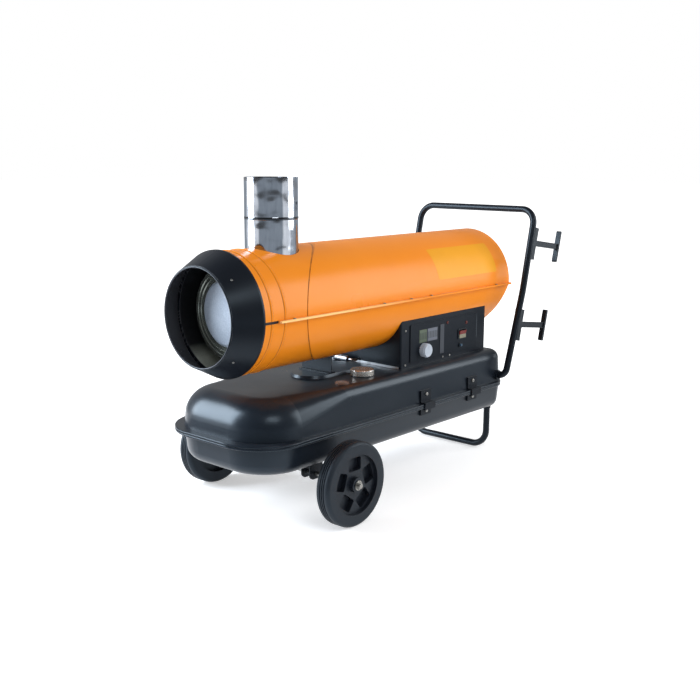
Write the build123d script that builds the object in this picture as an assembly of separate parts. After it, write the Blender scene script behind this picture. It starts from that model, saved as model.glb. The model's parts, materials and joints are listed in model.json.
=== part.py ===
from build123d import *
import math
import os

# Indirect fired heater: a casing on a wheeled fuel tank, with a flue, a push handle and a rear stand.
# All lengths are millimetres. While modelling, x runs rearwards from the front edge of the casing,
# z runs up from the floor, and the control panel is on the -Y side. The finished pieces are moved
# along x so that the origin lies under the middle of the whole machine.

# Shared sizes
overrun = 3.0
seat_gap = 0.3
running_gap = 0.05
screw_clearance = 0.3

# Casing
barrel_radius = 147.0
barrel_length = 1005.0
barrel_axis_z = 502.0
casing_sheet = 1.5
lap_sheet = 1.4
lap_start = 143.5
lap_sweep = 200.0
lap_margin = 2.0
seam_drop = 6.0
seam_lip = 9.0
seam_lip_front = 50.0
seam_lip_tip = 3.0
seam_lip_sheet = 2.4
seam_slot_front = 4.0
seam_slot_height = 6.4
bead_places = (30.0, 72.0)
bead_width = 7.0
bead_height = 1.8
rear_setback = 70.0
wire_hole_radius = 18.0
seam_screw_shares = (0.0945, 0.4159, 0.5264, 0.6129, 0.9254)
seam_screw_inset = 4.5
seam_screw_head = 3.6
seam_screw_head_height = 2.2
seam_screw_shank = 1.8

# Outlet cone
cone_lap = 2.9
cone_narrowing = 32.6
cone_length = 66.0
cone_sheet = 1.5
cone_skirt = 5.0
cone_seat_inset = 7.0
cone_hem_radius = 2.2
cone_screw_count = 4
cone_screw_head = 2.8
cone_screw_head_height = 1.6
cone_screw_shank = 1.6
cone_screw_share = 0.62

# Flue
flue_x = 172.0
flue_radius = 65.0
flue_sheet = 1.0
flue_length = 186.5
flue_foot_inset = 21.0
flue_hole_gap = 1.0
flue_bead_share = 0.488
flue_bead_width = 7.0
flue_bead_height = 0.7
spigot_reach_share = 0.32
spigot_sheet = 1.2
spigot_shoulder = 3.0

# Heat exchanger and combustion chamber
drum_air_gap = 33.5
drum_front_x = 26.0
drum_length_share = 0.4677
drum_sheet = 2.0
drum_ring_insets = (19.0, 9.0)
drum_ring_height = 1.8
cover_inset = 32.0
cover_sheet = 2.0
cover_dome = 5.0
cover_step = 6.0
cover_brim = 6.0
chamber_gas_gap = 34.0
chamber_front_x = 70.0
chamber_rear_share = 0.5572
chamber_sheet = 2.0
chamber_flange = 14.0
chamber_port_radius = 24.0
chamber_port_share = 0.398
strut_width = 22.0
strut_length = 26.0
strut_inset = 60.0
strut_angles = (45.0, 135.0, 270.0)

# Burner, pump and motor
burner_plate_inset = 2.0
burner_plate = 4.0
burner_tube_radius = 44.0
burner_tube_wall = 2.0
burner_tube_length = 70.0
swirler_hub_radius = 15.0
swirler_plate = 2.5
swirler_blade_count = 8
swirler_slot_width = 6.0
spider_hole_count = 3
spider_hole_share = 0.3
nozzle_radius = 8.0
nozzle_length = 34.0
nozzle_tip_radius = 2.5
nozzle_tip = 7.0
electrode_radius = 2.0
electrode_length = 60.0
electrode_offset = 11.0
electrode_height = 24.0
photocell_radius = 7.0
photocell_length = 26.0
photocell_angle = -26.0
motor_setback = 305.0
motor_length = 112.0
motor_radius = 52.0
motor_core_radius = 47.0
motor_fin_count = 24
motor_fin_width = 3.0
motor_boss_radius = 16.0
motor_boss = 8.0
shaft_radius = 6.0
bracket_band = 3.0
bracket_width = 34.0
bracket_foot_y = 62.0
bracket_leg_width = 14.0
pump_length = 44.0
pump_size = 62.0
pump_corner = 8.0
pump_gap = 6.0
pump_drop = 6.0
solenoid_radius = 13.0
solenoid_length = 30.0

# Fan and rear guard
fan_setback = 133.0
fan_hub_length = 30.0
fan_hub_radius = 26.0
fan_tip_inset = 13.5
fan_blade_count = 5
fan_blade_sheet = 2.2
fan_root_chord = 40.0
fan_tip_chord = 74.0
fan_root_pitch = 52.0
fan_tip_pitch = 24.0
fan_boss_length = 8.0
fan_boss_radius = 12.0
shroud_setback = 159.0
shroud_length = 24.0
shroud_tip_gap = 3.5
shroud_rim = 3.0
guard_setback = 83.0
guard_rim_gap = 0.9
guard_wire = 2.4
guard_depth = 3.0
guard_ring_shares = (0.8, 0.61, 0.415, 0.235)
guard_spoke_count = 8
guard_spoke_width = 4.0
guard_centre_radius = 14.0

# Control box under the casing
box_setback = 100.0
box_length = 395.0
box_side_inset = 14.1
box_sheet = 1.5
box_corner = 5.0
box_foot = 14.0
box_height = 130.0
box_gland_y = 60.0
box_gland_rise = 35.0
box_screw_offsets = ((-19.0, 89.0), (-19.0, -4.0), (149.0, -5.0), (181.0, -5.0))
box_screw_head = 3.0
box_screw_head_height = 1.8
box_screw_shank = 1.6
gland_radius = 11.0
gland_thread_radius = 8.0
gland_body = 14.0
gland_bore = 5.0
panel_front_inset = 38.0
panel_length = 310.0
panel_rise = 12.0
panel_height = 102.0
panel_sheet = 2.5
panel_corner = 5.0
window_offsets = ((38.0, 71.0), (74.5, 119.0))
window_rise = 49.0
window_height = 35.0
window_depth = 8.0
window_proud = 1.0
window_gap = 0.2
divider_offset = 131.0
divider_width = 19.0
divider_rise = 7.0
divider_height = 81.0
divider_sheet = 1.6
knob_offset = 57.0
knob_rise = 28.0
knob_radius = 19.0
knob_length = 18.0
knob_gap = 0.6
knob_grip_radius = 17.0
knob_cap = 4.0
knob_flute_count = 18
knob_flute_radius = 1.4
knob_pointer_width = 2.6
knob_pointer_depth = 1.0
knob_shaft_radius = 3.0
dial_body_radius = 15.0
dial_body_length = 22.0
dial_neck_radius = 5.0
switch_offset = 236.0
switch_rise = 49.5
switch_width = 40.0
switch_height = 30.0
switch_bezel = 3.5
switch_bezel_proud = 2.5
switch_body_depth = 24.0
rocker_width = 30.0
rocker_height = 22.0
rocker_proud = 3.0
rocker_depth = 8.0
rocker_tilt = 7.0
rocker_gap = 1.0
rocker_pin_radius = 1.2
rocker_pin_length = 1.4
rocker_pin_depth = 2.5
rocker_foot_share = 0.55
reset_offset = 228.0
reset_rise = 18.0
reset_collar_radius = 7.0
reset_collar = 2.5
reset_radius = 3.8
reset_proud = 5.0
reset_travel = 2.5
reset_stem_radius = 2.6
reset_body_radius = 6.0
reset_body_length = 20.0
reset_gap = 0.25
lamp_offsets = ((258.0, 79.0), (166.0, 90.0))
lamp_radius = 3.2
lamp_collar = 1.2
lamp_collar_proud = 1.0
lamp_proud = 2.4
lamp_length = 12.0
board_length = 115.0
board_height = 42.0
board_sheet = 1.6
board_offset = 102.0
board_rise = 18.0
board_stand = 36.8
board_post = 6.0
relay_length = 22.0
relay_height = 18.0
relay_depth = 15.0
relay_count = 3
transformer_length = 92.0
transformer_width = 56.0
transformer_height = 48.0
transformer_offset = 50.0
transformer_y = 92.0
transformer_corner = 6.0

# Fuel tank
tank_front_x = -52.0
tank_rear_setback = 50.0
tank_half_width = 192.5
tank_lip = 14.5
tank_lip_front = 22.0
tank_lip_rear = 4.0
tank_lip_corners = (128.0, 66.0)
tank_lip_height = 6.0
tank_lip_edge = 2.0
tank_seam_z = 213.0
tank_top_z = 310.0
tank_bottom_z = 135.0
tank_wall_corners = (121.5, 40.0)
tank_sheet = 1.5
tank_top_rounds = (70.0, 27.0)
tank_bottom_rounds = (29.0, 29.0)
tank_top_draft = 4.0
tank_bottom_draft = 6.0
tank_blend_gap = 4.0
tank_blend_length = 160.0
pedestal_front_x = 255.0
pedestal_rear_x = 478.0
pedestal_half_width = 58.0
pedestal_height = 7.0
pedestal_draft = 25.0
filler_x = 392.0
filler_inset = 90.5
neck_radius = 24.0
neck_hole_gap = 3.0
neck_sheet = 1.5
neck_flange_radius = 29.5
neck_flange = 1.5
neck_height = 10.0
neck_depth = 24.0
strainer_gap = 2.0
strainer_sheet = 0.8
strainer_length = 52.0
strainer_slot_count = 10
strainer_slot_width = 6.0
strainer_slot_margin = 8.0
cap_overhang = 1.5
cap_top = 4.0
cap_wall = 3.0
cap_flute_count = 28
cap_flute_radius = 1.6
cap_edge = 2.0
cap_skirt_gap = 0.8
gasket_sheet = 2.0
gauge_x = 289.0
gauge_inset = 68.5
gauge_radius = 18.0
gauge_flange = 3.0
gauge_cup_radius = 13.0
gauge_cup_depth = 9.0
gauge_wall = 1.5
gauge_lens_sheet = 1.5
gauge_pointer_length = 10.0
gauge_pointer_width = 2.0
gauge_pointer_sheet = 1.0
gauge_pin_radius = 1.2
gauge_stem_radius = 3.5
gauge_stem_length = 79.0
float_arm_radius = 1.6
float_arm_length = 70.0
float_radius = 13.0
float_length = 34.0
float_eye_radius = 5.0
float_eye_width = 4.0
float_pin_radius = 1.5
float_rest_angle = 50.0
drain_x = 120.0
drain_radius = 10.0
drain_flange = 4.0
drain_shank_radius = 6.5
filter_box_gap = 18.0
filter_half_length = 26.0
filter_y = 60.0
filter_radius = 8.5
filter_nipple_radius = 3.2
filter_nipple = 9.0
line_radius = 3.0
line_bend = 10.0
line_lead = 12.0
outlet_x = 430.0
outlet_radius = 9.0
outlet_height = 14.0

# Supports between tank and casing
support_x = 330.0
support_half_width = 52.0
support_sheet = 3.0
support_foot = 26.0

# Tank clamps
clamp_insets = (392.0, 175.0)
clamp_length = 44.0
clamp_sheet = 3.0
clamp_edge = 11.0
clamp_rise = 7.0
clamp_bolt_spacing = 45.0
clamp_bolt_head = 5.0
clamp_bolt_head_height = 4.0
clamp_bolt_shank = 3.0

# Wheels and axle
wheel_x = 186.0
wheel_radius = 103.4
wheel_width = 41.0
wheel_side_reach = 74.2
tyre_depth = 24.0
tyre_shoulder = 9.0
tyre_groove_count = 3
tyre_groove_width = 3.0
tyre_groove_depth = 2.5
rim_flange = 6.0
rim_web = 16.0
rim_pocket_floor = 3.0
rim_spoke_count = 5
rim_pocket_inner = 33.0
rim_pocket_gap = 8.0
rim_pocket_corner = 5.0
rim_pocket_width_share = 0.8
rim_hub_radius = 19.0
rim_recess = 9.0
rim_hub_proud = 2.0
axle_radius = 6.0
axle_end = 9.0
axle_collar_radius = 11.0
axle_collar_length = 8.0
washer_radius = 12.0
washer_sheet = 1.6
hub_nut_radius = 9.0
hub_nut_length = 5.0
axle_bracket_y = 118.0
axle_bracket_gauge = 3.0
axle_bracket_half_gap = 12.0
axle_bracket_length = 46.0
axle_bracket_drop_edge = 14.0

# Push handle, rear stand and cord winders
tube_radius = 9.5
tube_wall = 1.6
handle_side_gap = 13.5
handle_top_reach = 88.0
handle_top_z = 712.6
handle_knee_reach = 35.0
handle_knee_z = 480.0
handle_foot_inset = 44.0
handle_foot_rise = 24.0
handle_top_bend = 44.0
handle_knee_bend = 400.0
handle_foot_bend = 22.0
handle_stub = 27.0
handle_socket_radius = 14.0
handle_socket_length = 5.0
stand_inset = 29.0
stand_side_inset = 56.5
stand_bend = 48.0
stand_socket_radius = 11.5
stand_socket_reach = 7.0
winder_high_z = 618.0
winder_low_z = 384.0
winder_lean = 14.0
winder_stem_rise = 6.0
winder_base_length = 92.0
winder_base_width = 20.0
winder_base_depth = 12.0
winder_nub = 7.0
winder_nub_width = 9.0
winder_stem_height = 17.0
winder_stem_width = 10.0
winder_reach = 160.0
winder_bar_length = 95.0
winder_bar_thickness = 8.5
winder_bar_width = 14.0
winder_rib = 2.0
winder_edge = 4.0

# Worked-out levels and places
casing_inner = barrel_radius - casing_sheet
casing_outer = barrel_radius + lap_sheet
seam_z = barrel_axis_z - seam_drop
casing_low_z = barrel_axis_z - casing_outer
seam_screw_places = [barrel_length * share for share in seam_screw_shares]
cone_rear_radius = casing_outer + cone_lap
cone_front_radius = cone_rear_radius - cone_narrowing
cone_seat_radius = barrel_radius - cone_seat_inset
flue_foot_z = barrel_axis_z + barrel_radius - flue_foot_inset
flue_top_z = flue_foot_z + flue_length
flue_bead_z = flue_foot_z + flue_length * flue_bead_share
drum_radius = casing_inner - drum_air_gap
drum_length = barrel_length * drum_length_share
drum_rear_x = drum_front_x + drum_length
cover_radius = drum_radius - cover_inset
drum_front_bore = cover_radius - cover_brim
chamber_radius = drum_radius - chamber_gas_gap
chamber_rear_x = barrel_length * chamber_rear_share
chamber_flange_radius = chamber_radius + chamber_flange
burner_plate_radius = chamber_flange_radius - burner_plate_inset
motor_front_x = barrel_length - motor_setback
motor_rear_x = motor_front_x + motor_length
fan_hub_x = barrel_length - fan_setback
fan_tip_radius = casing_inner - fan_tip_inset
shroud_front_x = barrel_length - shroud_setback
shroud_bore = fan_tip_radius + shroud_tip_gap
guard_x = barrel_length - guard_setback
guard_radius = casing_inner - guard_rim_gap
tank_rear_x = barrel_length - tank_rear_setback
box_rear_x = barrel_length - box_setback
box_front_x = box_rear_x - box_length
box_half_width = casing_outer - box_side_inset
box_shoulder_z = tank_top_z + box_height
box_gland_z = tank_top_z + box_gland_rise
tank_wall_half_width = tank_half_width - tank_lip
tank_wall_front_x = tank_front_x + tank_lip_front
tank_blend_start_x = tank_wall_front_x + tank_wall_corners[0] + tank_blend_gap
tank_blend_end_x = tank_blend_start_x + tank_blend_length
lip_top_z = tank_seam_z + tank_lip_height
lip_low_z = tank_seam_z - tank_lip_height
panel_y = -box_half_width
panel_face_y = panel_y - panel_sheet
panel_back_y = panel_y + box_sheet
panel_front_x = box_front_x + panel_front_inset
panel_rear_x = panel_front_x + panel_length
panel_low_z = tank_top_z + panel_rise
panel_high_z = panel_low_z + panel_height
window_low_z = panel_low_z + window_rise
window_high_z = window_low_z + window_height
window_places = [(panel_front_x + start, panel_front_x + end) for start, end in window_offsets]
knob_x = panel_front_x + knob_offset
knob_z = panel_low_z + knob_rise
switch_x = panel_front_x + switch_offset
switch_z = panel_low_z + switch_rise
reset_x = panel_front_x + reset_offset
reset_z = panel_low_z + reset_rise
box_screw_places = [(panel_front_x + offset, panel_low_z + rise)
                    for offset, rise in box_screw_offsets]
lamp_places = [(panel_front_x + offset, panel_low_z + rise) for offset, rise in lamp_offsets]
board_front_x = panel_front_x + board_offset
board_low_z = tank_top_z + board_rise
board_y = panel_back_y + board_stand
pump_rear_x = motor_front_x - motor_boss - pump_gap
pump_front_x = pump_rear_x - pump_length
pump_x = (pump_front_x + pump_rear_x) / 2
filter_x = box_front_x - filter_box_gap
filter_z = tank_top_z + filter_radius
line_y = filter_y - filter_half_length - filter_nipple - line_lead
outlet_y = filter_y + filter_half_length + filter_nipple + line_lead
filler_y = filler_inset - tank_half_width
neck_bore = neck_radius - neck_sheet
neck_top_z = tank_top_z + neck_height
strainer_radius = neck_bore - strainer_gap
cap_radius = neck_flange_radius + cap_overhang
gasket_low_z = neck_top_z + strainer_sheet
gasket_top_z = gasket_low_z + gasket_sheet
rocker_pin_y = panel_face_y + rocker_pin_depth
gauge_y = gauge_inset - tank_half_width
gauge_stem_low_z = tank_top_z - gauge_cup_depth - gauge_stem_length
float_pin_z = gauge_stem_low_z + gauge_stem_radius
float_eye_y = gauge_y + gauge_stem_radius + seat_gap
clamp_places = [tank_rear_x - inset for inset in clamp_insets]
clamp_middle_z = tank_seam_z + clamp_rise
clamp_bolt_levels = (clamp_middle_z - clamp_bolt_spacing / 2, clamp_middle_z + clamp_bolt_spacing / 2)
wheel_outer_y = tank_half_width + wheel_side_reach
handle_half_width = tank_half_width + handle_side_gap
handle_top_x = tank_rear_x + handle_top_reach
handle_knee_x = tank_rear_x + handle_knee_reach
handle_foot_x = tank_rear_x - handle_foot_inset
handle_foot_z = tank_seam_z + handle_foot_rise
stand_x = tank_rear_x - stand_inset
stand_half_width = tank_half_width - stand_side_inset
stand_top_z = tank_bottom_z - seat_gap
stand_socket_low_z = tank_bottom_z - stand_socket_reach


def leg_x(z):
    """x of the handle's leg at height z."""
    if z > handle_knee_z:
        rise = (z - handle_knee_z) / (handle_top_z - handle_knee_z)
        return handle_knee_x + rise * (handle_top_x - handle_knee_x)
    rise = (z - handle_foot_z) / (handle_knee_z - handle_foot_z)
    return handle_foot_x + rise * (handle_knee_x - handle_foot_x)


def winder_extreme(z):
    """Rearmost x of a winder's crossbar, whose ends are round."""
    end = winder_bar_thickness / 2
    out = (winder_reach - end) * math.cos(math.radians(winder_lean - winder_stem_rise))
    up = (winder_bar_length / 2 - end) * math.sin(math.radians(winder_lean))
    return leg_x(z) + out + up + end


rear_reach = max(winder_extreme(winder_high_z), winder_extreme(winder_low_z))
middle_x = (rear_reach - cone_length) / 2


# General helpers
def tube_x(outer, inner, x0, x1):
    """A tube on the casing axis from x0 to x1."""
    ring = Circle(outer) - Circle(inner)
    return Plane((x0, 0, barrel_axis_z), x_dir=(0, 1, 0), z_dir=(1, 0, 0)) * extrude(ring, x1 - x0)


def rod_x(radius, x0, x1, y=0.0, z=barrel_axis_z):
    """A round bar along x."""
    return Plane((x0, y, z), x_dir=(0, 1, 0), z_dir=(1, 0, 0)) * extrude(Circle(radius), x1 - x0)


def rod_y(radius, x, z, y0, y1):
    """A round bar along y."""
    return Plane((x, y0, z), x_dir=(1, 0, 0), z_dir=(0, 1, 0)) * extrude(Circle(radius), y1 - y0)


def rod_z(radius, x, y, z0, z1):
    """A round bar along z."""
    return Pos(x, y, z0) * extrude(Circle(radius), z1 - z0)


def block(x0, x1, y0, y1, z0, z1):
    """A box between two corners."""
    return Pos((x0 + x1) / 2, (y0 + y1) / 2, (z0 + z1) / 2) * Box(abs(x1 - x0), abs(y1 - y0), abs(z1 - z0))


def spun_x(points, x=0.0, z=barrel_axis_z):
    """A closed (x, radius) outline turned round an axis along x."""
    face = Plane.XZ * make_face(Polyline(*points, close=True))
    return Pos(x, 0, z) * revolve(face, Axis.X, 360)


def spun_z(points, x, y, z):
    """A closed (radius, height) outline turned round an upright axis."""
    face = Plane.XZ * make_face(Polyline(*points, close=True))
    return Pos(x, y, z) * revolve(face, Axis.Z, 360)


def screw(origin, outward, head_radius, head_height, shank_radius, shank_length):
    """A pan head screw whose head sits on the face at origin."""
    seat = Plane(origin, z_dir=outward)
    head = extrude(Circle(head_radius), head_height)
    head = fillet(head.edges().sort_by(Axis.Z)[-1], head_height / 2)
    shank = extrude(Circle(shank_radius), -shank_length)
    return seat * (head + shank)


def screw_hole(origin, outward, shank_radius, depth):
    """The clearance hole of such a screw."""
    hole = extrude(Circle(shank_radius + screw_clearance), depth, both=True)
    return Plane(origin, z_dir=outward) * hole


def mirrored(shape):
    """The same shape on the other side of the machine."""
    return mirror(shape, Plane.XZ)


# Casing
def lap_region():
    """Side view of the main sheet, whose front edge sweeps back round the flue."""
    half = casing_outer + lap_margin
    centre_x = lap_start + lap_sweep
    length = barrel_length - centre_x
    side = Pos(centre_x, barrel_axis_z) * Ellipse(lap_sweep, half)
    side += Pos(centre_x + length / 2, barrel_axis_z) * Rectangle(length, half * 2)
    return extrude(Plane.XZ * side, half, both=True)


def casing_blank():
    """The whole round casing with its rolled beads, before it is parted."""
    line = Line((0, casing_inner), (0, barrel_radius))
    x = 0.0
    for place in bead_places:
        start = place - bead_width / 2
        end = place + bead_width / 2
        line += Line((x, barrel_radius), (start, barrel_radius))
        crown = (place, barrel_radius + bead_height)
        line += ThreePointArc((start, barrel_radius), crown, (end, barrel_radius))
        x = end
    line += Line((x, barrel_radius), (barrel_length, barrel_radius))
    line += Line((barrel_length, barrel_radius), (barrel_length, casing_inner))
    line += Line((barrel_length, casing_inner), (0, casing_inner))
    blank = Pos(0, 0, barrel_axis_z) * revolve(Plane.XZ * make_face(line), Axis.X, 360)
    middle = barrel_radius - casing_sheet / 2
    lap = tube_x(casing_outer, middle, lap_start - lap_margin, barrel_length) & lap_region()
    return blank + lap


def seam_lips(z0, z1):
    """The pair of lips that the two casing halves are screwed together by."""
    inner = barrel_radius - casing_sheet / 2
    outer = casing_outer + seam_lip
    lip = block(seam_lip_front, barrel_length + seam_lip_tip, -outer, -inner, z0, z1)
    rear = lip.edges().filter_by(Axis.Z).sort_by(Axis.X)[-2:]
    lip = fillet(rear.sort_by(Axis.Y)[0], seam_lip / 2)
    for x in seam_screw_places:
        seat = (x, -(outer - seam_screw_inset), z0)
        lip -= screw_hole(seat, (0, 0, 1), seam_screw_shank, seam_lip_sheet * 2)
    return lip + mirrored(lip)


def casing_half(blank, z0, z1):
    """One half of the casing, with the open slot at the front of its seam."""
    reach = casing_outer + overrun
    half = blank & block(-overrun, barrel_length + overrun, -reach, reach, z0, z1)
    slot = seam_slot_height / 2
    slot_low = seam_z - slot
    slot_high = seam_z + slot
    return half - block(seam_slot_front, seam_lip_front, -reach, reach, slot_low, slot_high)


def upper_casing(blank):
    half = casing_half(blank, seam_z, barrel_axis_z + casing_outer + overrun)
    top = barrel_axis_z + casing_outer + overrun
    half -= rod_z(flue_radius + flue_hole_gap, flue_x, 0, barrel_axis_z, top)
    return half + seam_lips(seam_z, seam_z + seam_lip_sheet)


def lower_casing(blank):
    half = casing_half(blank, barrel_axis_z - casing_outer - overrun, seam_z)
    low = casing_low_z - overrun
    far = barrel_length + overrun
    slope = [(barrel_length, seam_z), (barrel_length - rear_setback, casing_low_z),
             (barrel_length - rear_setback, low), (far, low), (far, seam_z)]
    side = Plane.XZ * make_face(Polyline(*slope, close=True))
    half -= extrude(side, casing_outer + overrun, both=True)
    half -= rod_z(wire_hole_radius, pump_x, 0, low, barrel_axis_z)
    return half + seam_lips(seam_z - seam_lip_sheet, seam_z)


# Outlet cone
def cone_wall(x):
    """Outer radius of the cone at distance x in front of the casing."""
    return cone_rear_radius + (cone_front_radius - cone_rear_radius) * x / cone_length


def cone_screw_seats():
    """Where the cone's screws sit, as (origin, outward direction)."""
    slope = math.atan2(cone_rear_radius - cone_front_radius, cone_length)
    x = cone_length * cone_screw_share
    radius = cone_wall(x)
    seats = []
    for i in range(cone_screw_count):
        turn = math.radians(360 * (i + 0.5) / cone_screw_count)
        out_y = math.cos(turn)
        out_z = math.sin(turn)
        origin = (-x, radius * out_y, barrel_axis_z + radius * out_z)
        outward = (-math.sin(slope), math.cos(slope) * out_y, math.cos(slope) * out_z)
        seats.append((origin, outward))
    return seats


def outlet_cone():
    slope = math.atan2(cone_rear_radius - cone_front_radius, cone_length)
    wall = cone_sheet / math.cos(slope)
    hem_x = cone_length - cone_hem_radius
    points = [(cone_skirt, cone_rear_radius), (0, cone_rear_radius), (-hem_x, cone_wall(hem_x)),
              (-hem_x, cone_wall(hem_x) - wall),
              (-cone_sheet, cone_wall(cone_sheet) - wall), (-cone_sheet, cone_seat_radius),
              (0, cone_seat_radius), (0, cone_rear_radius - cone_sheet),
              (cone_skirt, cone_rear_radius - cone_sheet)]
    cone = spun_x(points)
    hem = Pos(-hem_x, cone_front_radius - cone_hem_radius) * Circle(cone_hem_radius)
    cone += Pos(0, 0, barrel_axis_z) * revolve(Plane.XZ * hem, Axis.X, 360)
    for origin, outward in cone_screw_seats():
        cone -= screw_hole(origin, outward, cone_screw_shank, cone_sheet * 3)
    return cone


def casing_screws():
    """The pan head screws of the cone and of the casing's seam, as a list."""
    screws = []
    for origin, outward in cone_screw_seats():
        screws.append(screw(origin, outward, cone_screw_head, cone_screw_head_height,
                            cone_screw_shank, cone_sheet * 3))
    y = casing_outer + seam_lip - seam_screw_inset
    for x in seam_screw_places:
        for side in (-y, y):
            screws.append(screw((x, side, seam_z + seam_lip_sheet), (0, 0, 1), seam_screw_head,
                                seam_screw_head_height, seam_screw_shank, seam_lip_sheet * 2))
    return screws


# Flue
def flue_pipe():
    inner = flue_radius - flue_sheet
    foot = flue_foot_z
    line = Line((inner, foot), (flue_radius, foot))
    bead_low = flue_bead_z - flue_bead_width / 2
    bead_high = flue_bead_z + flue_bead_width / 2
    line += Line((flue_radius, foot), (flue_radius, bead_low))
    line += ThreePointArc((flue_radius, bead_low), (flue_radius + flue_bead_height, flue_bead_z),
                          (flue_radius, bead_high))
    line += Line((flue_radius, bead_high), (flue_radius, flue_top_z))
    line += Line((flue_radius, flue_top_z), (inner, flue_top_z))
    line += Line((inner, flue_top_z), (inner, foot))
    return Pos(flue_x, 0, 0) * revolve(Plane.XZ * make_face(line), Axis.Z, 360)


def flue_spigot():
    """The exchanger's outlet neck, which the flue pipe slides over down to its shoulder."""
    outer = flue_radius - flue_sheet - seat_gap
    inner = outer - spigot_sheet
    neck = Circle(outer) - Circle(inner)
    shoulder = Circle(flue_radius) - Circle(inner)
    reach = flue_foot_z + flue_length * spigot_reach_share - barrel_axis_z
    body = Pos(flue_x, 0, barrel_axis_z) * extrude(neck, reach)
    body += Pos(flue_x, 0, flue_foot_z - spigot_shoulder) * extrude(shoulder, spigot_shoulder)
    return body - rod_x(drum_radius + seat_gap, 0, barrel_length)


# Heat exchanger and combustion chamber
def heat_exchanger():
    """The closed drum round the chamber, with raised rings on its front and six struts to the casing."""
    rear_x = drum_rear_x
    inner = drum_radius - drum_sheet
    points = [(drum_front_x, drum_front_bore)]
    for inset in drum_ring_insets:
        place = drum_radius - inset
        points += [(drum_front_x, place - drum_ring_height), (drum_front_x - drum_ring_height, place),
                   (drum_front_x, place + drum_ring_height)]
    points += [(drum_front_x, drum_radius), (rear_x, drum_radius),
               (rear_x, chamber_radius + seat_gap), (rear_x - drum_sheet, chamber_radius + seat_gap),
               (rear_x - drum_sheet, inner), (drum_front_x + drum_sheet, inner),
               (drum_front_x + drum_sheet, drum_front_bore)]
    drum = spun_x(points)
    room = tube_x(casing_inner - seat_gap, drum_radius - drum_sheet / 2, 0, barrel_length)
    for x in (drum_front_x + strut_inset, drum_rear_x - strut_inset):
        for angle in strut_angles:
            bar = Pos(x, 0, casing_outer / 2) * Box(strut_length, strut_width, casing_outer)
            drum += (Pos(0, 0, barrel_axis_z) * Rot(angle - 90, 0, 0) * bar) & room
    port = flue_radius - flue_sheet - seat_gap - spigot_sheet
    return drum - rod_z(port, flue_x, 0, barrel_axis_z, barrel_axis_z + drum_radius + overrun)


def exchanger_cover():
    """The bright domed cover that closes the front of the exchanger, with a plug in its bore."""
    brim_x = drum_front_x - cover_sheet
    step_x = drum_front_x - cover_step
    step_radius = cover_radius - cover_step
    plug_x = drum_front_x + drum_sheet
    plug_radius = drum_front_bore - seat_gap
    points = [(step_x, 0), (step_x, step_radius), (brim_x, cover_radius), (drum_front_x, cover_radius),
              (drum_front_x, plug_radius), (plug_x, plug_radius), (plug_x, 0)]
    crown = ThreePointArc((step_x, step_radius), (step_x - cover_dome, 0), (step_x, -step_radius))
    lens = make_face(crown + Line((step_x, -step_radius), (step_x, step_radius)))
    upper_half = Pos(step_x, cover_radius / 2) * Rectangle(cover_radius, cover_radius)
    dome = revolve(Plane.XZ * (lens & upper_half), Axis.X, 360)
    return spun_x(points) + Pos(0, 0, barrel_axis_z) * dome


def combustion_chamber():
    """The inner steel cylinder, closed at the front, with gas ports into the exchanger."""
    inner = chamber_radius - chamber_sheet
    rear = chamber_rear_x
    points = [(chamber_front_x, 0), (chamber_front_x, chamber_radius),
              (rear - chamber_sheet, chamber_radius), (rear - chamber_sheet, chamber_flange_radius),
              (rear, chamber_flange_radius), (rear, inner),
              (chamber_front_x + chamber_sheet, inner), (chamber_front_x + chamber_sheet, 0)]
    chamber = spun_x(points)
    reach = chamber_radius + overrun
    port_x = barrel_length * chamber_port_share
    return chamber - rod_y(chamber_port_radius, port_x, barrel_axis_z, -reach, reach)


# Burner
def burner_head():
    """The burner's mounting plate with its air tube and slotted swirl plate."""
    x = chamber_rear_x
    plate = tube_x(burner_plate_radius, burner_tube_radius - burner_tube_wall, x, x + burner_plate)
    tube = tube_x(burner_tube_radius, burner_tube_radius - burner_tube_wall, x - burner_tube_length, x)
    swirl_x = x - burner_tube_length
    swirl = tube_x(burner_tube_radius - burner_tube_wall, swirler_hub_radius, swirl_x,
                   swirl_x + swirler_plate)
    slot_length = burner_tube_radius - burner_tube_wall * 2 - swirler_hub_radius - burner_tube_wall
    middle = swirler_hub_radius + burner_tube_wall + slot_length / 2
    for i in range(swirler_blade_count):
        slot = Pos(swirl_x, 0, middle) * Box(swirler_plate * 3, swirler_slot_width, slot_length)
        swirl -= Pos(0, 0, barrel_axis_z) * Rot(360 * i / swirler_blade_count, 0, 0) * slot
    return plate + tube + swirl


def oil_nozzle():
    """The atomising nozzle on its pipe from the pump, held by a spider in the burner tube."""
    front = chamber_rear_x - burner_tube_length + swirler_plate + seat_gap
    pipe_radius = nozzle_tip_radius * 2
    points = [(front, 0), (front, nozzle_tip_radius), (front + nozzle_tip, nozzle_radius),
              (front + nozzle_length, nozzle_radius), (front + nozzle_length, pipe_radius),
              (pump_front_x, pipe_radius), (pump_front_x, 0)]
    spider_x = chamber_rear_x - burner_plate
    room = burner_tube_radius - burner_tube_wall - seat_gap
    spider = tube_x(room, nozzle_tip_radius, spider_x, spider_x + burner_plate)
    middle = (room + pipe_radius) / 2
    hole = (room - pipe_radius) * spider_hole_share
    for turn in range(spider_hole_count):
        angle = math.radians(90 + 360 * (turn + 0.5) / spider_hole_count)
        y = middle * math.cos(angle)
        z = barrel_axis_z + middle * math.sin(angle)
        spider -= rod_x(hole, spider_x - overrun, spider_x + burner_plate + overrun, y, z)
    return spun_x(points) + spider


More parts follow.
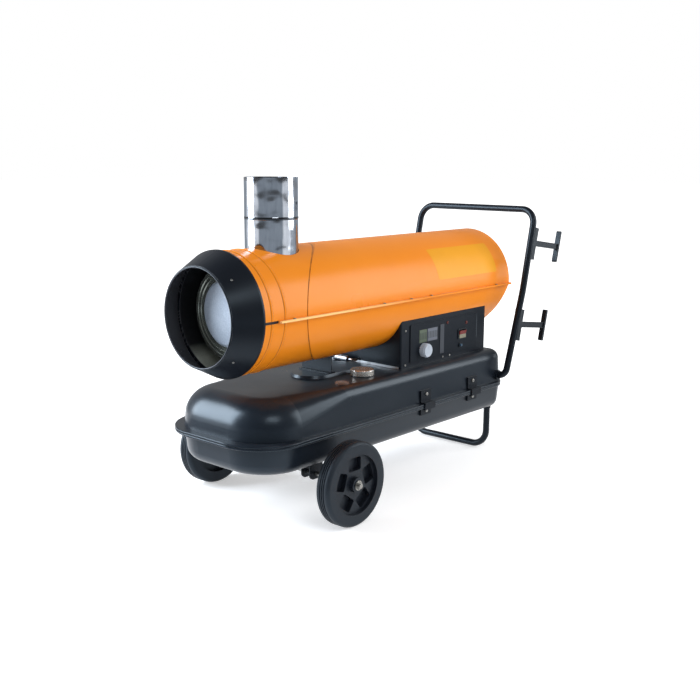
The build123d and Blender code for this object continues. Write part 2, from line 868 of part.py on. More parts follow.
def ignition_electrodes():
    """Two rods that reach past the nozzle tip, each in a ceramic sleeve."""
    rods = []
    rear = chamber_rear_x - burner_plate
    front = rear - electrode_length
    z = barrel_axis_z + electrode_height
    for y in (-electrode_offset, electrode_offset):
        rod = rod_x(electrode_radius, front, rear, y, z)
        rod += rod_x(electrode_radius * 2, front + electrode_length / 2, rear, y, z)
        rods.append(rod)
    return Compound(rods)


def photocell():
    """The flame sensor on the back of the burner plate."""
    x = chamber_rear_x + burner_plate
    middle = (burner_tube_radius + burner_plate_radius) / 2
    y = middle * math.cos(math.radians(photocell_angle))
    z = barrel_axis_z + middle * math.sin(math.radians(photocell_angle))
    eye = rod_x(photocell_radius, x, x + photocell_length, y, z)
    return eye + rod_x(photocell_radius * 2 - electrode_radius, x, x + electrode_radius, y, z)


# Motor, pump and fan
def motor_body():
    """The fan motor, with cooling fins round its core and a boss at each end."""
    core = tube_x(motor_core_radius, shaft_radius + running_gap, motor_front_x, motor_rear_x)
    room = tube_x(motor_radius, motor_core_radius - overrun, motor_front_x, motor_rear_x)
    fins = core
    for i in range(motor_fin_count):
        fin = Pos(0, 0, motor_radius / 2) * Box(motor_length * 3, motor_fin_width, motor_radius)
        fin = Rot(360 * i / motor_fin_count, 0, 0) * fin
        fin = Pos((motor_front_x + motor_rear_x) / 2, 0, barrel_axis_z) * fin
        fins += fin & room
    bore = shaft_radius + running_gap
    fins += tube_x(motor_boss_radius, bore, motor_front_x - motor_boss, motor_front_x)
    return fins + tube_x(motor_boss_radius, bore, motor_rear_x, motor_rear_x + motor_boss)


def motor_bracket():
    """A band round the motor on two legs that stand on the inside of the casing."""
    middle = (motor_front_x + motor_rear_x) / 2
    x0 = middle - bracket_width / 2
    x1 = middle + bracket_width / 2
    inner = motor_radius + seat_gap
    band = tube_x(inner + bracket_band, inner, x0, x1)
    room = rod_x(casing_inner - seat_gap, x0, x1) - rod_x(inner, x0 - overrun, x1 + overrun)
    for y in (-bracket_foot_y, bracket_foot_y):
        leg = block(x0, x1, y - bracket_leg_width / 2, y + bracket_leg_width / 2,
                    barrel_axis_z - casing_inner, barrel_axis_z)
        web = block(x0, x1, 0, y, barrel_axis_z - bracket_band / 2, barrel_axis_z + bracket_band / 2)
        band += (leg + web) & room
    return band


def motor_shaft():
    """The shaft through the motor, from the pump's drive to the fan's boss."""
    rear = fan_hub_x + fan_hub_length / 2 + fan_boss_length + shaft_radius / 2
    shaft = rod_x(shaft_radius, pump_rear_x + seat_gap, rear)
    return chamfer(shaft.edges().sort_by(Axis.X)[-1], shaft_radius / 4)


def fan_blade():
    """One blade, lofted from its pitched root to its flatter, longer tip, radius along z."""
    sections = []
    stations = ((fan_hub_radius - overrun, fan_root_chord, fan_root_pitch),
                (fan_tip_radius, fan_tip_chord, fan_tip_pitch))
    for radius, chord, pitch in stations:
        section = SlotOverall(chord, fan_blade_sheet, rotation=pitch)
        sections.append(Plane((0, 0, radius), x_dir=(0, 1, 0), z_dir=(0, 0, 1)) * section)
    return loft(sections)


def fan():
    """The axial fan: a hub bored for the shaft and five twisted blades with round tips."""
    x0 = fan_hub_x - fan_hub_length / 2
    x1 = fan_hub_x + fan_hub_length / 2
    hub = rod_x(fan_hub_radius, x0, x1)
    hub = fillet(hub.edges().filter_by(GeomType.CIRCLE).sort_by(Axis.X)[-1], fan_hub_radius / 4)
    room = rod_x(fan_tip_radius, x0 - fan_hub_length, x1 + fan_hub_length)
    for i in range(fan_blade_count):
        blade = Rot(360 * i / fan_blade_count, 0, 0) * fan_blade()
        hub += (Pos(fan_hub_x, 0, barrel_axis_z) * blade) & room
    hub += rod_x(fan_boss_radius, x1, x1 + fan_boss_length)
    return hub - rod_x(shaft_radius, x0 - overrun, x1 + fan_boss_length + overrun)


def fan_shroud():
    """The ring that closes the gap round the fan tips."""
    x1 = shroud_front_x + shroud_length
    points = [(shroud_front_x, shroud_bore), (x1, shroud_bore), (x1, casing_inner - seat_gap),
              (x1 - shroud_rim, casing_inner - seat_gap), (x1 - shroud_rim, shroud_bore + shroud_rim),
              (shroud_front_x, shroud_bore + shroud_rim)]
    return spun_x(points)


def fuel_pump():
    """The gear pump on the front of the motor, with its valve block below."""
    half = pump_size / 2
    middle_z = barrel_axis_z - pump_drop
    body = block(pump_front_x, pump_rear_x, -half, half, middle_z - half, middle_z + half)
    body = fillet(body.edges().filter_by(Axis.X), pump_corner)
    nose = rod_x(motor_boss_radius, pump_rear_x, motor_front_x - motor_boss)
    return body + (nose - rod_x(shaft_radius + running_gap, pump_rear_x, motor_front_x))


def solenoid_valve():
    """The shut-off valve coil on the near side of the pump."""
    y = -pump_size / 2
    coil = rod_y(solenoid_radius, pump_x, barrel_axis_z - pump_drop, y - solenoid_length, y)
    coil = fillet(coil.edges().filter_by(GeomType.CIRCLE).sort_by(Axis.Y)[0], solenoid_radius / 5)
    stem = rod_y(solenoid_radius / 2, pump_x, barrel_axis_z - pump_drop, y - solenoid_length - shaft_radius,
                 y - solenoid_length)
    return coil + stem


def rear_guard():
    """The air inlet guard: a rim, four rings and eight spokes round a centre disc."""
    x1 = guard_x + guard_depth
    half = guard_wire / 2
    guard = tube_x(guard_radius, guard_radius - guard_wire * 2, guard_x, x1)
    for share in guard_ring_shares:
        radius = guard_radius * share
        guard += tube_x(radius + half, radius - half, guard_x, x1)
    guard += rod_x(guard_centre_radius, guard_x, x1)
    reach = guard_radius - guard_wire
    for i in range(guard_spoke_count):
        spoke = block(guard_x, x1, -guard_spoke_width / 2, guard_spoke_width / 2, 0, reach)
        guard += Pos(0, 0, barrel_axis_z) * Rot(360 * i / guard_spoke_count, 0, 0) * spoke
    return guard


# Control box
def box_room(x0, x1, half, low, corner):
    """The space under the casing between two x places, with round upright corners."""
    room = block(x0, x1, -half, half, low, box_shoulder_z)
    return fillet(room.edges().filter_by(Axis.Z), corner)


def panel_cutouts():
    """Everything that passes through the near wall of the box and the panel on it."""
    y0 = panel_face_y - overrun
    y1 = panel_back_y + overrun
    cuts = rod_y(dial_neck_radius + seat_gap, knob_x, knob_z, y0, y1)
    half_w = switch_width / 2 - switch_bezel + seat_gap
    half_h = switch_height / 2 - switch_bezel + seat_gap
    cuts += block(switch_x - half_w, switch_x + half_w, y0, y1, switch_z - half_h, switch_z + half_h)
    cuts += rod_y(reset_body_radius - reset_gap, reset_x, reset_z, y0, y1)
    for x, z in lamp_places:
        cuts += rod_y(lamp_radius + window_gap, x, z, y0, y1)
    for x0, x1 in window_places:
        cuts += block(x0 - window_gap, x1 + window_gap, y0, y1, window_low_z - window_gap,
                      window_high_z + window_gap)
    return cuts


def control_box():
    """The folded sheet box between tank and casing, trimmed to the casing's round underside."""
    outer = box_room(box_front_x, box_rear_x, box_half_width, tank_top_z, box_corner)
    inner = box_room(box_front_x + box_sheet, box_rear_x - box_sheet, box_half_width - box_sheet,
                     tank_top_z, box_corner - box_sheet)
    x0 = box_front_x + box_foot
    x1 = box_rear_x - box_foot
    half = box_half_width - box_foot
    floor = outer - block(x0, x1, -half, half, 0, box_shoulder_z)
    floor &= block(0, barrel_length, -casing_outer, casing_outer, tank_top_z, tank_top_z + box_sheet)
    box = (outer - inner) + floor
    box -= rod_x(casing_outer + seat_gap, 0, barrel_length)
    box -= rod_x(gland_thread_radius + seat_gap, box_rear_x - box_corner, box_rear_x + overrun,
                 box_gland_y, box_gland_z)
    box -= rod_x(line_radius + seat_gap, box_front_x - overrun, box_front_x + box_corner,
                 line_y, filter_z)
    for x, z in box_screw_places:
        box -= screw_hole((x, -box_half_width, z), (0, -1, 0), box_screw_shank, box_sheet * 3)
    return box - panel_cutouts()


def box_screws():
    """The pan head screws in the near wall of the box, as a list."""
    return [screw((x, -box_half_width, z), (0, -1, 0), box_screw_head, box_screw_head_height,
                  box_screw_shank, box_sheet * 2) for x, z in box_screw_places]


def cord_gland():
    """The cable gland in the rear wall of the box, with its nut inside."""
    x = box_rear_x
    inside = x - box_sheet
    gland = rod_x(gland_radius, x, x + gland_body / 2, box_gland_y, box_gland_z)
    dome = rod_x(gland_radius - gland_body / 7, x + gland_body / 2, x + gland_body, box_gland_y, box_gland_z)
    dome = fillet(dome.edges().sort_by(Axis.X)[-1], gland_radius / 4)
    neck = rod_x(gland_thread_radius, inside, x, box_gland_y, box_gland_z)
    nut = rod_x(gland_radius, inside - gland_body / 2, inside, box_gland_y, box_gland_z)
    bore = rod_x(gland_bore, inside - gland_body, x + gland_body + overrun, box_gland_y, box_gland_z)
    return gland + dome + neck + nut - bore


def control_panel():
    """The moulded panel on the near wall, with its raised dividing bar."""
    panel = block(panel_front_x, panel_rear_x, panel_face_y, panel_y, panel_low_z, panel_high_z)
    panel = fillet(panel.edges().filter_by(Axis.Y), panel_corner)
    y = panel_face_y
    x0 = panel_front_x + divider_offset
    z0 = panel_low_z + divider_rise
    strip = block(x0, x0 + divider_width, y - divider_sheet, y, z0, z0 + divider_height)
    panel += chamfer(strip.faces().sort_by(Axis.Y)[0].edges(), divider_sheet / 2)
    return panel - panel_cutouts()


def display_windows():
    """Two glazed display blocks set in the panel."""
    windows = []
    for x0, x1 in window_places:
        glass = block(x0, x1, panel_face_y - window_proud, panel_face_y + window_depth,
                      window_low_z, window_high_z)
        windows.append(chamfer(glass.faces().sort_by(Axis.Y)[0].edges(), window_proud / 2))
    return Compound(windows)


def thermostat_body():
    """The thermostat behind the panel, whose neck carries the knob's shaft."""
    back = panel_back_y
    body = rod_y(dial_body_radius, knob_x, knob_z, back, back + dial_body_length)
    body += rod_y(dial_neck_radius, knob_x, knob_z, panel_face_y - knob_gap / 2, back)
    return body - rod_y(knob_shaft_radius + running_gap, knob_x, knob_z, panel_face_y - overrun,
                        back + dial_body_length / 2)


def thermostat_knob():
    """The round knob with a fluted skirt, a smooth cap and a pointer line, on its own shaft."""
    base = panel_face_y - knob_gap
    tip = base - knob_length
    knob = rod_y(knob_radius, knob_x, knob_z, tip + knob_cap, base)
    cap = rod_y(knob_grip_radius, knob_x, knob_z, tip, tip + knob_cap)
    cap = fillet(cap.edges().filter_by(GeomType.CIRCLE).sort_by(Axis.Y)[0], knob_cap / 4)
    for i in range(knob_flute_count):
        turn = 2 * math.pi * i / knob_flute_count
        x = knob_x + knob_radius * math.cos(turn)
        z = knob_z + knob_radius * math.sin(turn)
        knob -= rod_y(knob_flute_radius, x, z, tip, base + overrun)
    knob += cap
    half = knob_pointer_width / 2
    knob -= block(knob_x - half, knob_x + half, tip - overrun, tip + knob_pointer_depth, knob_z,
                  knob_z + knob_grip_radius)
    back = panel_back_y + dial_body_length / 2 - overrun
    return knob + rod_y(knob_shaft_radius, knob_x, knob_z, base, back)


def power_switch():
    """The switch housing: a bezel on the panel and a body behind it with pivots for the rocker."""
    half_w = switch_width / 2
    half_h = switch_height / 2
    face = panel_face_y
    bezel = block(switch_x - half_w, switch_x + half_w, face - switch_bezel_proud, face,
                  switch_z - half_h, switch_z + half_h)
    bezel = fillet(bezel.edges().filter_by(Axis.Y), switch_bezel)
    bezel = chamfer(bezel.faces().sort_by(Axis.Y)[0].edges(), switch_bezel_proud / 4)
    body_w = half_w - switch_bezel
    body_h = half_h - switch_bezel
    body = block(switch_x - body_w, switch_x + body_w, face, face + switch_body_depth,
                 switch_z - body_h, switch_z + body_h)
    hole_w = rocker_width / 2 + rocker_gap
    hole_h = rocker_height / 2 + rocker_gap
    well = block(switch_x - hole_w, switch_x + hole_w, face - switch_bezel_proud - overrun,
                 face + rocker_depth + rocker_gap * 3, switch_z - hole_h, switch_z + hole_h)
    housing = bezel + body - well
    reach = hole_w + rocker_pin_length
    return housing - rod_x(rocker_pin_radius + running_gap, switch_x - reach, switch_x + reach,
                           rocker_pin_y, switch_z)


def power_rocker():
    """The two-sided rocker, pivoted in the housing and tilted towards its lower half."""
    crest = panel_face_y - switch_bezel_proud - rocker_proud
    valley = crest + rocker_proud / 2
    low = panel_face_y + rocker_depth
    half = rocker_height / 2
    foot = half * rocker_foot_share
    points = [(crest, half), (valley, 0), (crest, -half), (low, -foot), (low, foot)]
    side = make_face(Polyline(*points, close=True))
    section = Plane((switch_x, 0, switch_z), x_dir=(0, 1, 0), z_dir=(1, 0, 0)) * side
    reach = rocker_width / 2 + rocker_pin_length
    rocker = extrude(section, rocker_width / 2, both=True)
    rocker += rod_x(rocker_pin_radius, switch_x - reach, switch_x + reach, rocker_pin_y, switch_z)
    pivot = Pos(0, rocker_pin_y, switch_z)
    return pivot * Rot(rocker_tilt, 0, 0) * pivot.inverse() * rocker


def reset_housing():
    """The reset button's threaded body, with a collar on the panel."""
    tip = panel_face_y - reset_collar
    body = rod_y(reset_collar_radius, reset_x, reset_z, tip, panel_face_y)
    body += rod_y(reset_body_radius - reset_gap * 2, reset_x, reset_z, panel_face_y,
                  panel_back_y + reset_body_length)
    body -= rod_y(reset_radius + reset_gap, reset_x, reset_z, tip - overrun, panel_back_y)
    return body - rod_y(reset_stem_radius + reset_gap, reset_x, reset_z, panel_back_y - overrun,
                        panel_back_y + reset_body_length / 2)


def reset_button():
    """The push button in its collar, on a stem with room to travel."""
    tip = panel_face_y - reset_collar - reset_proud
    back = panel_back_y - reset_travel - reset_gap
    button = rod_y(reset_radius, reset_x, reset_z, tip, back)
    button = fillet(button.edges().filter_by(GeomType.CIRCLE).sort_by(Axis.Y)[0], reset_radius / 4)
    stem_end = panel_back_y + reset_body_length / 2 - reset_travel * 2
    return button + rod_y(reset_stem_radius, reset_x, reset_z, back, stem_end)


def indicator_lamps():
    lamps = []
    for x, z in lamp_places:
        collar_tip = panel_face_y - lamp_collar_proud
        lamp = rod_y(lamp_radius, x, z, panel_face_y - lamp_proud, panel_face_y + lamp_length)
        lamp = fillet(lamp.edges().filter_by(GeomType.CIRCLE).sort_by(Axis.Y)[0], lamp_radius / 2)
        lamps.append(lamp + rod_y(lamp_radius + lamp_collar, x, z, collar_tip, panel_face_y))
    return Compound(lamps)


def control_board():
    """The circuit board with its relays, on four posts behind the panel wall."""
    x1 = board_front_x + board_length
    z1 = board_low_z + board_height
    board = block(board_front_x, x1, board_y, board_y + board_sheet, board_low_z, z1)
    for x in (board_front_x + board_post, x1 - board_post):
        for z in (board_low_z + board_post, z1 - board_post):
            board += rod_y(board_post / 2, x, z, panel_back_y, board_y)
    pitch = board_length / (relay_count + 1)
    middle = board_low_z + board_height / 2
    for i in range(relay_count):
        x = board_front_x + pitch * (i + 1)
        board += block(x - relay_length / 2, x + relay_length / 2, board_y - relay_depth, board_y,
                       middle - relay_height / 2, middle + relay_height / 2)
    return board


def ignition_transformer():
    half = transformer_width / 2
    x0 = box_front_x + transformer_offset
    body = block(x0, x0 + transformer_length, transformer_y - half, transformer_y + half,
                 tank_top_z, tank_top_z + transformer_height)
    return fillet(body.edges().filter_by(Axis.Z), transformer_corner)


# Fuel tank
def round_plan(x0, x1, half, front_corner, rear_corner):
    """An outline seen from above, with its own corner radius at the front and at the rear."""
    plan = Pos((x0 + x1) / 2, 0) * Rectangle(x1 - x0, half * 2)
    plan = fillet(plan.vertices().group_by(Axis.X)[0], front_corner)
    return fillet(plan.vertices().group_by(Axis.X)[-1], rear_corner)


def lip_plan():
    """The edge of the tank's lips."""
    return round_plan(tank_front_x, tank_rear_x, tank_half_width, *tank_lip_corners)


def wall_plan(inset):
    """The foot of the tank's walls, which nearly meet the lips' edge at the rear, drawn in by inset."""
    front, rear = tank_wall_corners
    return round_plan(tank_wall_front_x + inset, tank_rear_x - tank_lip_rear - inset,
                      tank_wall_half_width - inset, front - inset, rear - inset)


def pan_solid(inset, height, draft, rounds):
    """A drafted pan standing on z = 0, whose shoulder is wide at the front and narrow further back."""
    pan = extrude(wall_plan(inset), height, taper=draft)
    front = pan & block(tank_front_x, tank_blend_start_x, -tank_half_width, tank_half_width, 0, height)
    rear = pan & block(tank_blend_end_x, tank_rear_x, -tank_half_width, tank_half_width, 0, height)
    front_edges = front.faces().sort_by(Axis.Z)[-1].edges().sort_by(Axis.X)[:-1]
    rear_edges = rear.faces().sort_by(Axis.Z)[-1].edges().sort_by(Axis.X)[1:]
    front = fillet(front_edges, rounds[0] - inset)
    rear = fillet(rear_edges, rounds[1] - inset)
    blend = loft([front.faces().sort_by(Axis.X)[-1], rear.faces().sort_by(Axis.X)[0]], ruled=True)
    return front + blend + rear


def pan_lip():
    """The thick rolled lip round the open side of a pan."""
    lip = extrude(lip_plan(), tank_lip_height)
    lip = fillet(lip.faces().filter_by(Axis.Z).edges(), tank_lip_edge)
    return lip - extrude(wall_plan(tank_sheet / 2), tank_lip_height)


def upper_pan(inset):
    """The solid form of the upper half: inset 0 is its outside, the sheet's thickness its inside."""
    height = tank_top_z - tank_seam_z - inset
    pan = pan_solid(inset, height, tank_top_draft, tank_top_rounds)
    length = pedestal_rear_x - pedestal_front_x - inset * 2
    radius = pedestal_half_width - inset
    bump = SlotOverall(length, radius * 2)
    bump = extrude(bump, pedestal_height, taper=pedestal_draft)
    middle = (pedestal_rear_x + pedestal_front_x) / 2
    return Pos(0, 0, tank_seam_z) * (pan + Pos(middle, 0, height) * bump)


def lower_pan(inset):
    height = tank_seam_z - tank_bottom_z - inset
    pan = pan_solid(inset, height, tank_bottom_draft, tank_bottom_rounds)
    return Pos(0, 0, tank_seam_z) * mirror(pan, Plane.XY)


def handle_socket(outside):
    """A weld-on sleeve that holds one end of the push handle, trimmed to the tank's wall."""
    end_y = handle_half_width - handle_stub
    y0 = -(end_y + handle_socket_length)
    sleeve = rod_y(handle_socket_radius, handle_foot_x, handle_foot_z, y0, -end_y / 2)
    sleeve -= rod_y(tube_radius, handle_foot_x, handle_foot_z, y0 - overrun, -end_y)
    return sleeve - outside


def tank_upper():
    """The upper half of the tank: a pressed shell with its lip, pedestal and two handle sockets."""
    outside = upper_pan(0)
    shell = outside - upper_pan(tank_sheet)
    shell += Pos(0, 0, tank_seam_z) * pan_lip()
    top = tank_top_z - tank_sheet - overrun
    shell -= rod_z(neck_radius + neck_hole_gap, filler_x, filler_y, top, tank_top_z + overrun)
    shell -= rod_z(gauge_cup_radius + seat_gap, gauge_x, gauge_y, top, tank_top_z + overrun)
    shell -= rod_z(line_radius + seat_gap, outlet_x, outlet_y, top, tank_top_z + overrun)
    socket = handle_socket(outside)
    return shell + socket + mirrored(socket)


def tank_lower():
    """The lower half of the tank, with its lip and the drain."""
    outside = lower_pan(0)
    shell = outside - lower_pan(tank_sheet)
    shell += Pos(0, 0, tank_seam_z) * mirror(pan_lip(), Plane.XY)
    shell -= rod_z(drain_shank_radius + seat_gap, drain_x, 0, tank_bottom_z - overrun,
                   tank_bottom_z + overrun)
    return shell


def filler_neck():
    """The filler neck: a tube through the tank's top with a flange that it sits on."""
    points = [(neck_bore, -neck_depth), (neck_radius, -neck_depth), (neck_radius, 0),
              (neck_flange_radius, 0), (neck_flange_radius, neck_flange), (neck_radius, neck_flange),
              (neck_radius, neck_height), (neck_bore, neck_height)]
    return spun_z(points, filler_x, filler_y, tank_top_z)


def fuel_strainer():
    """A slotted basket that hangs in the filler neck by its rim."""
    wall = strainer_sheet
    points = [(0, -strainer_length), (strainer_radius, -strainer_length), (strainer_radius, 0),
              (neck_radius, 0), (neck_radius, wall), (strainer_radius - wall, wall),
              (strainer_radius - wall, wall - strainer_length), (0, wall - strainer_length)]
    basket = spun_z(points, filler_x, filler_y, neck_top_z)
    low = neck_top_z - strainer_length + strainer_slot_margin
    high = neck_top_z - neck_height - neck_depth
    for i in range(strainer_slot_count):
        slot = Pos(strainer_radius, 0, 0) * Box(wall * 6, strainer_slot_width, high - low)
        slot = Rot(0, 0, 360 * i / strainer_slot_count) * slot
        basket -= Pos(filler_x, filler_y, (low + high) / 2) * slot
    return basket


def cap_gasket():
    outer = cap_radius - cap_wall - seat_gap * 2
    ring = Circle(outer) - Circle(strainer_radius - strainer_sheet)
    return Pos(filler_x, filler_y, gasket_low_z) * extrude(ring, gasket_sheet)


def fuel_cap():
    """The plated cap: a fluted skirt over the neck and a rounded top on the gasket."""
    low = tank_top_z + neck_flange + cap_skirt_gap
    inner = cap_radius - cap_wall
    top = gasket_top_z + cap_top
    cap = rod_z(cap_radius, filler_x, filler_y, low, top)
    cap = fillet(cap.edges().filter_by(GeomType.CIRCLE).sort_by(Axis.Z)[-1], cap_edge)
    cap -= rod_z(inner, filler_x, filler_y, low - overrun, gasket_top_z)
    for i in range(cap_flute_count):
        turn = 2 * math.pi * i / cap_flute_count
        x = filler_x + cap_radius * math.cos(turn)
        y = filler_y + cap_radius * math.sin(turn)
        cap -= rod_z(cap_flute_radius, x, y, low - overrun, top - cap_edge)
    return cap


def gauge_body():
    """The fuel gauge: a dial cup in the tank's top on a stem that carries the float's pivot."""
    well = gauge_cup_radius - gauge_wall
    rebate = (gauge_radius + gauge_cup_radius) / 2
    floor = -gauge_cup_depth + gauge_wall
    points = [(0, -gauge_cup_depth), (gauge_cup_radius, -gauge_cup_depth), (gauge_cup_radius, 0),
              (gauge_radius, 0), (gauge_radius, gauge_flange), (rebate, gauge_flange),
              (rebate, gauge_flange - gauge_lens_sheet), (well, gauge_flange - gauge_lens_sheet),
              (well, floor), (0, floor)]
    body = spun_z(points, gauge_x, gauge_y, tank_top_z)
    pin_top = floor + gauge_pointer_sheet * 3
    body += rod_z(gauge_pin_radius, gauge_x, gauge_y, tank_top_z + floor, tank_top_z + pin_top)
    body += rod_z(gauge_stem_radius, gauge_x, gauge_y, gauge_stem_low_z, tank_top_z - gauge_cup_depth)
    pin_end = float_eye_y + float_eye_width + gauge_pointer_sheet
    return body + rod_y(float_pin_radius, gauge_x, float_pin_z, gauge_y, pin_end)


def gauge_lens():
    radius = (gauge_radius + gauge_cup_radius) / 2
    top = tank_top_z + gauge_flange
    return rod_z(radius, gauge_x, gauge_y, top - gauge_lens_sheet, top)


def gauge_pointer():
    """The pointer on its pin over the floor of the dial cup."""
    z = tank_top_z - gauge_cup_depth + gauge_wall + gauge_pointer_sheet
    hub = rod_z(gauge_pin_radius * 2, gauge_x, gauge_y, z, z + gauge_pointer_sheet)
    half = gauge_pointer_width / 2
    hub += block(gauge_x - gauge_pointer_length, gauge_x, gauge_y - half, gauge_y + half, z,
                 z + gauge_pointer_sheet)
    return hub - rod_z(gauge_pin_radius + running_gap, gauge_x, gauge_y, z - overrun, z + overrun)


def float_arm():
    """The float on its arm, hanging at the empty end of its swing."""
    y = float_eye_y + float_eye_width / 2
    eye = rod_y(float_eye_radius, 0, 0, float_eye_y, float_eye_y + float_eye_width)
    arm = rod_x(float_arm_radius, float_pin_radius + running_gap, float_arm_length, y, 0)
    can = rod_y(float_radius, float_arm_length, 0, y - float_length / 2, y + float_length / 2)
    can = fillet(can.edges().filter_by(GeomType.CIRCLE), float_radius / 4)
    arm = eye + arm + can - rod_y(float_pin_radius + running_gap, 0, 0, float_eye_y - overrun,
                                  float_eye_y + float_eye_width + overrun)
    return Pos(gauge_x, 0, float_pin_z) * Rot(0, float_rest_angle, 0) * arm


def drain_plug():
    z = tank_bottom_z
    head = extrude(RegularPolygon(drain_radius, 6), drain_flange)
    plug = Pos(drain_x, 0, z - drain_flange) * head
    return plug + rod_z(drain_shank_radius, drain_x, 0, z, z + drain_flange)


def fuel_filter():
    """The in-line filter that lies across the tank's top in front of the box."""
    low = filter_y - filter_half_length
    high = filter_y + filter_half_length
    body = rod_y(filter_radius, filter_x, filter_z, low, high)
    body = fillet(body.edges().filter_by(GeomType.CIRCLE), filter_radius / 4)
    body += rod_y(filter_nipple_radius, filter_x, filter_z, low - filter_nipple, low)
    return body + rod_y(filter_nipple_radius, filter_x, filter_z, high, high + filter_nipple)


def bent_line(points):
    """A fuel pipe along straight runs and round bends."""
    path = FilletPolyline(*points, radius=line_bend)
    start = Plane(path @ 0, z_dir=path % 0)
    return sweep(start * Circle(line_radius), path=path)


def fuel_lines():
    """The pipes from the tank's outlet to the filter and from the filter up to the pump."""
    near = filter_y - filter_half_length - filter_nipple
    far = filter_y + filter_half_length + filter_nipple
    pump_low = barrel_axis_z - pump_size / 2 - pump_drop
    to_pump = bent_line([(filter_x, near, filter_z), (filter_x, line_y, filter_z),
                         (pump_x, line_y, filter_z), (pump_x, line_y, pump_low)])
    to_filter = bent_line([(filter_x, far, filter_z), (filter_x, far + line_lead, filter_z),
                           (outlet_x + outlet_radius, far + line_lead, filter_z)])
    fitting = rod_z(outlet_radius, outlet_x, far + line_lead, tank_top_z, tank_top_z + outlet_height)
    fitting = fillet(fitting.edges().filter_by(GeomType.CIRCLE).sort_by(Axis.Z)[-1], outlet_radius / 4)
    fitting += rod_z(line_radius, outlet_x, far + line_lead, tank_bottom_z + tank_bottom_rounds[1],
                     tank_top_z)
    return Compound([to_pump, to_filter, fitting])


# Support, clamps
def casing_support():
    """The sheet saddle between the tank's pedestal and the front of the casing."""
    x0 = support_x - support_foot / 2
    x1 = support_x + support_foot / 2
    low = tank_top_z + pedestal_height
    seat = casing_outer + seat_gap
    strap = tube_x(seat + support_sheet, seat, x0, x1)
    strap &= block(x0, x1, -support_half_width, support_half_width, low, barrel_axis_z)
    foot = block(x0, x1, -support_half_width, support_half_width, low, low + support_sheet)
    half = support_sheet / 2
    web = block(support_x - half, support_x + half, -support_half_width, support_half_width,
                low, barrel_axis_z)
    web -= rod_x(seat, x0, x1)
    return strap + foot + web


def clamp_bolt_seats():
    """Where the clamp bolts sit, as (x, side, z)."""
    seats = []
    for x in clamp_places:
        for side in (-1, 1):
            for z in clamp_bolt_levels:
                seats.append((x, side, z))
    return seats


def tank_clamps():
    """Four clips folded round the tank's lips, one leg on each half of the tank."""
    outer_y = tank_wall_half_width + clamp_sheet
    lip_y = tank_half_width + seat_gap
    z0 = clamp_bolt_levels[0] - clamp_edge
    z1 = clamp_bolt_levels[1] + clamp_edge
    solid = upper_pan(0) + lower_pan(0)
    clips = []
    for x in clamp_places:
        x0 = x - clamp_length / 2
        x1 = x + clamp_length / 2
        inside = tank_wall_half_width - clamp_sheet * 2
        clip = block(x0, x1, -outer_y, -inside, z0, z1)
        hood_low = lip_low_z - seat_gap - clamp_sheet
        hood_high = lip_top_z + seat_gap + clamp_sheet
        clip += block(x0, x1, -(lip_y + clamp_sheet), -inside, hood_low, hood_high)
        clip -= block(x0 - overrun, x1 + overrun, -lip_y, 0, lip_low_z - seat_gap, lip_top_z + seat_gap)
        clip -= solid
        for z in clamp_bolt_levels:
            clip -= screw_hole((x, -outer_y, z), (0, -1, 0), clamp_bolt_shank, clamp_sheet * 4)
        clips += [clip, mirrored(clip)]
    return Compound(clips)


def clamp_bolts():
    """The bolts of the tank's clips, as a list."""
    y = tank_wall_half_width + clamp_sheet
    bolts = []
    for x, side, z in clamp_bolt_seats():
        bolts.append(screw((x, side * y, z), (0, side, 0), clamp_bolt_head, clamp_bolt_head_height,
                           clamp_bolt_shank, clamp_sheet))
    return bolts


# Wheels and axle, made for the near side
def wheel_solid(points):
    """A closed (y, radius) outline turned round the axle."""
    face = Plane.YZ * make_face(Polyline(*points, close=True))
    return Pos(wheel_x, 0, wheel_radius) * revolve(face, Axis.Y, 360)


def tyre():
    y0 = -wheel_outer_y
    y1 = y0 + wheel_width
    inner = wheel_radius - tyre_depth
    body = wheel_solid([(y0, inner), (y0, wheel_radius), (y1, wheel_radius), (y1, inner)])
    rims = body.edges().filter_by(GeomType.CIRCLE).sort_by(SortBy.RADIUS)[-2:]
    body = fillet(rims, tyre_shoulder)
    pitch = (wheel_width - tyre_shoulder * 2) / (tyre_groove_count + 1)
    for i in range(tyre_groove_count):
        y = y0 + tyre_shoulder + pitch * (i + 1)
        half = tyre_groove_width / 2
        top = wheel_radius + overrun
        floor = wheel_radius - tyre_groove_depth
        body -= wheel_solid([(y - half, top), (y - half, floor), (y + half, floor), (y + half, top)])
    return body


def rim():
    """The moulded wheel centre: a rim band, a deep web with five blind pockets and a bored hub."""
    y0 = -wheel_outer_y
    y1 = y0 + wheel_width
    outer = wheel_radius - tyre_depth
    face_y = y0 + rim_recess
    floor_y = face_y + rim_web - rim_pocket_floor
    hub_y = y0 - rim_hub_proud
    bore = axle_radius + running_gap
    points = [(y0, outer), (y0, outer - rim_flange), (face_y, outer - rim_flange), (face_y, rim_hub_radius),
              (hub_y, rim_hub_radius), (hub_y, bore), (y1, bore), (y1, rim_hub_radius),
              (face_y + rim_web, rim_hub_radius), (face_y + rim_web, outer - rim_flange),
              (y1, outer - rim_flange), (y1, outer)]
    wheel = wheel_solid(points)
    pocket_outer = outer - rim_flange - rim_pocket_gap
    length = pocket_outer - rim_pocket_inner
    width = 2 * math.pi * (rim_pocket_inner + length / 2) / rim_spoke_count - rim_pocket_gap
    for i in range(rim_spoke_count):
        hole = RectangleRounded(width * rim_pocket_width_share, length, rim_pocket_corner)
        hole = Pos(0, rim_pocket_inner + length / 2) * hole
        hole = Plane.XZ * (Rot(0, 0, 360 * i / rim_spoke_count) * hole)
        wheel -= Pos(wheel_x, floor_y, wheel_radius) * extrude(hole, wheel_width)
    return wheel


